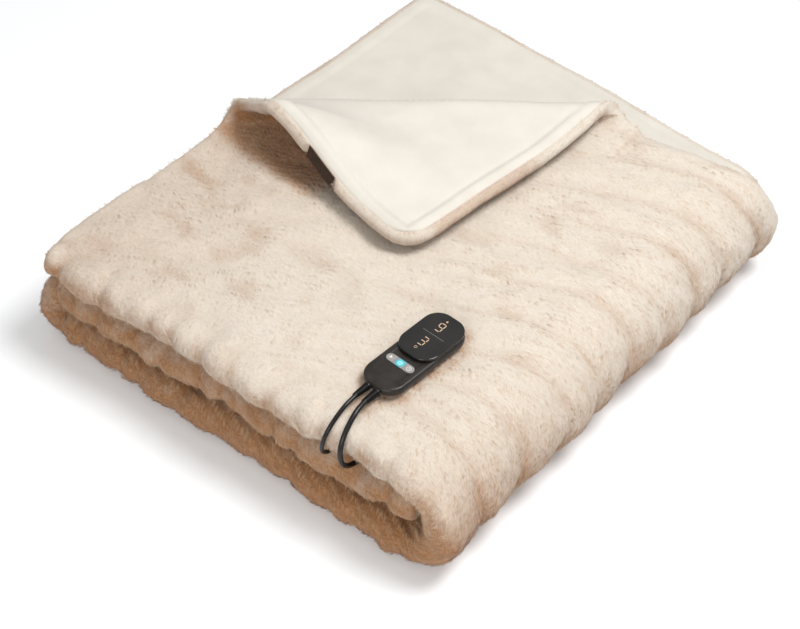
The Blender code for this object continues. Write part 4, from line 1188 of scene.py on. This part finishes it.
HALF_DIGIT = (0.0034, 0.00625)
SEGMENT_WIDTH = 0.0011
SEGMENT_GAP = 0.0005


def on_controller(name, mesh, material, node=None, body=BODY):
    """Adds a piece whose mesh is given from the middle of the controller's underside."""
    piece = new_object(name, mesh, material, body)
    piece.location = (CONTROLLER_X, CONTROLLER_Y, HOUSING_Z)
    piece.rotation_euler.z = CONTROLLER_TURN
    if node:
        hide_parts(node)


def housing_mesh():
    """The lower housing with the pill-shaped pocket that the keys sit in."""
    top = HOUSING_HEIGHT
    belly = [(0, 0.006), (0.0004, 0.0046), (0.0015, 0.0028), (0.0028, 0.0014), (0.0045, 0.0004), (0.0070, 0)]
    shoulder = [(top - 0.0034, 0.0001), (top - 0.0022, 0.0004), (top - 0.0011, 0.0012)]
    shoulder += [(top - 0.0003, 0.0023), (top, 0.0036)]
    rings = slab_rings(CONTROLLER_SIZE, belly + shoulder, (0, 0), 0, 14)
    for grown, radius, height in ((0.0006, 0.0001, top), (0, -0.0001, top - 0.0004), (0, -0.0001, KEY_FLOOR)):
        pill = rounded_outline(STRIP_LENGTH + grown, STRIP_WIDTH + grown, STRIP_WIDTH / 2 + radius)
        rings.append(at_height(pill + (0, KEY_STRIP_Y), height))
    return solid_mesh("controller_shell", rings, 50)


def window_mesh():
    top = WINDOW_HEIGHT
    foot = [(0, 0.0034), (0.0005, 0.0022), (0.0012, 0.0014), (0.0020, 0.0010), (top - 0.0016, 0.0008)]
    size = (CONTROLLER_SIZE[0], WINDOW_LENGTH, CONTROLLER_SIZE[2] - 0.001)
    centre = (0, (CONTROLLER_SIZE[1] - WINDOW_LENGTH) / 2)
    levels = foot + rounded_edge(top, 0.0008, 0.0014)
    return solid_mesh("smoked_window", slab_rings(size, levels, centre, HOUSING_HEIGHT + PART_GAP, 18), 40)


def key_mesh(key):
    """One of the strip's three keys: a plain middle one between two with a round end each."""
    half, split = STRIP_WIDTH / 2 - KEY_CLEARANCE, MIDDLE_KEY_LENGTH / 2
    if key == "middle_key":
        outline = rounded_outline(2 * split, 2 * half, 0.0006, 4)
    else:
        near, far = split + KEY_CLEARANCE, (STRIP_LENGTH - STRIP_WIDTH) / 2
        arc = np.radians(np.linspace(-90, 90, 25))
        side = np.column_stack((far + half * np.cos(arc), half * np.sin(arc)))
        outline = np.concatenate((((near, -half),), side, ((near, half),)))
        outline = outline if key == "right_key" else -outline
    low, high = outline.min(axis=0), outline.max(axis=0)
    rings = []
    edge = ((KEY_TOP - 0.0004, 0), (KEY_TOP - 0.0001, 0.00012), (KEY_TOP, 0.0004))
    for height, inset in ((KEY_FLOOR + 0.0008, 0), *edge):
        ring = (low + high) / 2 + (outline - (low + high) / 2) * (1 - inset / ((high - low) / 2))
        rings.append(at_height(ring + (0, KEY_STRIP_Y), height))
    return solid_mesh(key, rings, 40)


def plate_mesh(name, outlines, base):
    """Thin flat symbols that stand a hair proud of the face beneath, which is at height base."""
    points, faces, first = [], [], 0
    for outline in outlines:
        count = len(outline)
        points += [at_height(outline, base - 0.0001), at_height(outline, base + SYMBOL_RISE)]
        faces += [tuple(range(first + count, first + 2 * count)), *wall_faces(first, first + count, count)]
        first += 2 * count
    mesh = bpy.data.meshes.new(name)
    mesh.from_pydata(np.concatenate(points).tolist(), [], faces)
    return mesh


def bar(start, end, width):
    """The outline of a stroke from start to end with pointed ends."""
    start, end = np.array(start), np.array(end)
    tip = (end - start) / np.linalg.norm(end - start) * width / 2
    side = np.array((-tip[1], tip[0]))
    return np.array((start, start + tip - side, end - tip - side, end, end - tip + side, start + tip + side))


def ring_strokes(centre, radius, width, start=0.0, end=360.0, steps=20):
    """An arc as short strokes."""
    angle = np.radians(np.linspace(start, end, steps + 1))
    way = np.column_stack((np.cos(angle), np.sin(angle)))
    outer, inner = centre + radius * way, centre + (radius - width) * way
    return [np.array((inner[i], outer[i], outer[i + 1], inner[i + 1])) for i in range(steps)]


def digit_strokes(lit, y):
    """Strokes of a digit's lit segments: top, upper left and right, middle, lower left and right, bottom."""
    left, right = DIGIT_X - HALF_DIGIT[0], DIGIT_X + HALF_DIGIT[0]
    low, high = y - HALF_DIGIT[1], y + HALF_DIGIT[1]
    level = [((left + SEGMENT_GAP, place), (right - SEGMENT_GAP, place)) for place in (high, y, low)]
    upper = [((x, y + SEGMENT_GAP), (x, high - SEGMENT_GAP)) for x in (left, right)]
    lower = [((x, low + SEGMENT_GAP), (x, y - SEGMENT_GAP)) for x in (left, right)]
    segments = [level[0], *upper, level[1], *lower, level[2]]
    return [bar(*segment, SEGMENT_WIDTH) for segment, on in zip(segments, lit) if on]


def turned_mesh(name, profile, start, way, sides):
    """A body of revolution about a level line this way: profile lists (distance along it, radius)."""
    angle = np.arange(sides) / sides * 2 * pi
    circle = np.outer(np.cos(angle), (-way[1], -way[0], 0)) + np.outer(np.sin(angle), (0, 0, 1))
    rings = [circle * radius + start + np.array(way) * place for place, radius in profile]
    return solid_mesh(name, rings, 30)


def relief_mesh(name, aside, lead_radius):
    """A ribbed strain relief that tapers from the housing to its lead."""
    taper = lead_radius + 0.0008
    profile = [(0.0, RELIEF_RADIUS), (0.0022, RELIEF_RADIUS)]
    pitch = (RELIEF_LENGTH - 0.0022 - 0.0018) / RIBS
    for rib in range(RIBS):
        start = 0.0022 + rib * pitch
        radius = RELIEF_RADIUS + (taper - RELIEF_RADIUS) * (rib + 0.5) / RIBS
        profile += [(start + 0.0001, radius - 0.0017), (start + pitch * 0.42, radius - 0.0017)]
        profile += [(start + pitch * 0.46, radius - 0.0002), (start + pitch * 0.56, radius)]
        profile += [(start + pitch * 0.94, radius), (start + pitch, radius - 0.0002)]
    profile += [(RELIEF_LENGTH - 0.0017, taper), (RELIEF_LENGTH - 0.0004, taper)]
    profile.append((RELIEF_LENGTH, taper - 0.0004))
    start = (aside, -CONTROLLER_SIZE[1] / 2 - PART_GAP, RELIEF_HEIGHT)
    return turned_mesh(name, profile, start, (0, -1, 0), 28)


def add_controller():
    """The hand controller. Its keys and their symbols ride on the keys' bodies."""
    shell = moulded_material("controller_shell", (0.016, 0.013, 0.011), (0.033, 0.028, 0.024), 0.36)
    soft_keys = moulded_material("soft_keys", (0.24, 0.225, 0.215), (0.34, 0.32, 0.305), 0.50)
    lit_key = lit_key_material()
    amber = glow_material("amber_segments", (0.46, 0.31, 0.20), (0.60, 0.43, 0.30), 0.20)
    etched = glow_material("etched_line", (0.20, 0.185, 0.17), (0.28, 0.26, 0.24), 0.05)
    white = glow_material("key_symbols", (0.60, 0.58, 0.55), (0.78, 0.76, 0.73), 0.10)
    rubber = cord_material()
    on_controller("controller_shell", housing_mesh(), shell, "controller_housing")
    on_controller("smoked_window", window_mesh(), window_material(), "display_window")
    for side, finish in (("left", soft_keys), ("middle", lit_key), ("right", soft_keys)):
        key = side + "_key"
        on_controller(key + "_pad", key_mesh(key), finish, "key_" + side, key)
    lit = [stroke for segments, y in DIGITS for stroke in digit_strokes(segments, y)]
    lit += ring_strokes((DIGIT_X, 0.0030), 0.0019, 0.0004)
    lit.append(bar((DIGIT_X, 0.0030), (DIGIT_X, 0.0042), 0.0005))
    drop = ((-0.0026, 0.0525), (-0.0004, 0.0525), (-0.0004, 0.0535), (-0.0015, 0.0552), (-0.0026, 0.0535))
    lit.append(np.array(drop))
    on_controller("lit_segments", plate_mesh("lit_segments", lit, GLASS_TOP), amber)
    line = [bar((-0.0145, 0.0290), (0.0150, 0.0290), 0.00035)]
    on_controller("divider_line", plate_mesh("divider_line", line, GLASS_TOP), etched)
    left, middle, right = ((x, KEY_STRIP_Y) for x in (-SYMBOL_X, 0.0, SYMBOL_X))

    def stroke(centre, start, end, width):
        return bar(np.add(centre, start), np.add(centre, end), width)

    arrow = [np.array(((-0.0015, -0.0020), (0.0012, 0.0), (-0.0015, 0.0020))) + left]
    arrow.append(stroke(left, (-0.0021, -0.0020), (-0.0021, 0.0020), 0.0006))
    flame = ring_strokes(np.add(middle, (0.0, -0.0002)), 0.0026, 0.0006, 120, 420, 18)
    flame.append(stroke(middle, (0.0, -0.0006), (0.0, 0.0024), 0.0007))
    clock = ring_strokes(right, 0.0029, 0.00055)
    clock.append(stroke(right, (0.0, 0.0), (0.0, 0.0019), 0.0005))
    clock.append(stroke(right, (0.0, 0.0), (0.0013, -0.0006), 0.0005))
    for side, strokes in (("left", arrow), ("middle", flame), ("right", clock)):
        symbol = side + "_symbol"
        on_controller(symbol, plate_mesh(symbol, strokes, KEY_TOP), white, body=side + "_key")
    for node, aside, radius in (
        ("relief_control", -RELIEF_ASIDE, CONTROL_LEAD_RADIUS),
        ("relief_mains", RELIEF_ASIDE, MAINS_LEAD_RADIUS),
    ):
        name = "ribbed_" + node
        on_controller(name, relief_mesh(name, aside, radius), rubber, node)


# ---------------- the connector and the plug

CONNECTOR_LENGTH = 0.040
CONNECTOR_WIDTH = 0.026
CONNECTOR_HEIGHT = 0.0072
PLUG_RELIEF_LENGTH = 0.022
PLUG_LENGTH = 0.035
PLUG_WIDTH = 0.034
PLUG_NOSE_WIDTH = 0.026
PLUG_HEIGHT = 0.0136
PIN_LENGTH = 0.019
PIN_RADIUS = 0.0020
PIN_SPACING = 0.0186


def add_connector():
    lead_end = route_points(CONTROL_ROUTE)[-1]
    centre = (lead_end.x, lead_end.y + PART_GAP + CONNECTOR_LENGTH / 2)
    top = CONNECTOR_HEIGHT
    levels = [(0, 0.001), (0.0003, 0.0003), (0.001, 0), (0.0012, 0), *rounded_edge(top, 0, 0.0010)]
    levels += [(top, 0.0030), (top - 0.0004, 0.0034)]
    rings = slab_rings((CONNECTOR_WIDTH, CONNECTOR_LENGTH, 0.004), levels, centre, MIDDLE_FUR + 0.0004, 8)
    black = moulded_material("connector_shell", (0.022, 0.021, 0.020), (0.040, 0.038, 0.036), 0.45)
    add_solid("flat_connector", solid_mesh("flat_connector", rings, 40), black, "hem_connector")


def add_plug():
    """A flat two-pin plug on the floor, with grip ridges on its sides."""
    start = np.array(route_points(PLUG_ROUTE)[-1]) - (PART_GAP, 0, 0)
    thin, thick = MAINS_LEAD_RADIUS + 0.0006, MAINS_LEAD_RADIUS + 0.0024
    profile = [(0, thin - 0.0003), (0.0004, thin)]
    for rib in range(RIBS):
        place = 0.0010 + rib * 0.0029
        radius = thin + (thick - thin) * rib / (RIBS - 1)
        profile += [(place, radius), (place + 0.0016, radius)]
        profile += [(place + 0.0017, radius - 0.0008), (place + 0.0028, radius - 0.0008)]
    profile += [(PLUG_RELIEF_LENGTH - 0.0004, thick), (PLUG_RELIEF_LENGTH, thick - 0.0002)]
    sleeve = turned_mesh("plug_sleeve", profile, start, (-1, 0, 0), 24)
    pieces = [add_solid("plug_sleeve", sleeve, cord_material(), "plug_relief")]
    start = start - (PLUG_RELIEF_LENGTH + PART_GAP, 0, 0)
    tall = PLUG_HEIGHT
    sections = [(0, PLUG_NOSE_WIDTH * 0.70, tall * 0.86), (0.0012, PLUG_NOSE_WIDTH * 0.76, tall)]
    sections.append((0.004, PLUG_NOSE_WIDTH, tall))
    for rib in range(4):
        place = 0.0055 + rib * 0.0026
        width = PLUG_NOSE_WIDTH + (PLUG_WIDTH - PLUG_NOSE_WIDTH) * (place - 0.004) / 0.012
        sections += [(place, width, tall), (place + 0.0008, width - 0.0012, tall)]
        sections.append((place + 0.0018, width - 0.0004, tall))
    sections += [(0.0165, PLUG_WIDTH, tall), (PLUG_LENGTH - 0.0008, PLUG_WIDTH, tall)]
    sections.append((PLUG_LENGTH, PLUG_WIDTH - 0.0016, tall - 0.0016))
    rings = []
    for place, width, height in sections:
        outline = rounded_outline(width, height, height * 0.42, 6)
        rings.append(np.column_stack((np.full(len(outline), -place), outline)) + start)
    black = moulded_material("plug_shell", (0.020, 0.019, 0.018), (0.036, 0.034, 0.032), 0.40)
    shell = solid_mesh("plug_shell", rings)
    pieces.append(add_solid("plug_shell", shell, black, "plug_body"))
    start = start - (PLUG_LENGTH + PART_GAP, 0, 0)
    profile = [(0, PIN_RADIUS), (PIN_LENGTH - 0.0015, PIN_RADIUS)]
    profile += [(PIN_LENGTH - 0.0006, PIN_RADIUS * 0.86), (PIN_LENGTH, PIN_RADIUS * 0.55)]
    plated = pin_material()
    for node, side in (("plug_pin_front", -1), ("plug_pin_back", 1)):
        place = start + (0, side * PIN_SPACING / 2, 0)
        mesh = turned_mesh("plated_" + node, profile, place, (-1, 0, 0), 24)
        pieces.append(add_solid("plated_" + node, mesh, plated, node))
    return pieces


add_camera()
add_studio()
jacket = cord_material()
control_path = route_points(CONTROL_ROUTE)
control_cord = add_cord("control_cord", control_path, CONTROL_LEAD_RADIUS, jacket, "control_lead")
mains_path = route_points(MAINS_ROUTE) + coil_points() + route_points(PLUG_ROUTE)
mains_cord = add_cord(
    "mains_cord", mains_path, MAINS_LEAD_RADIUS, jacket, "mains_lead", "mains_coil", "plug_lead"
)
fur_cloth, fleece_cloth = add_cloth()
fur_strands = add_strands()
label = add_label()
add_controller()
add_connector()
plug_pieces = add_plug()
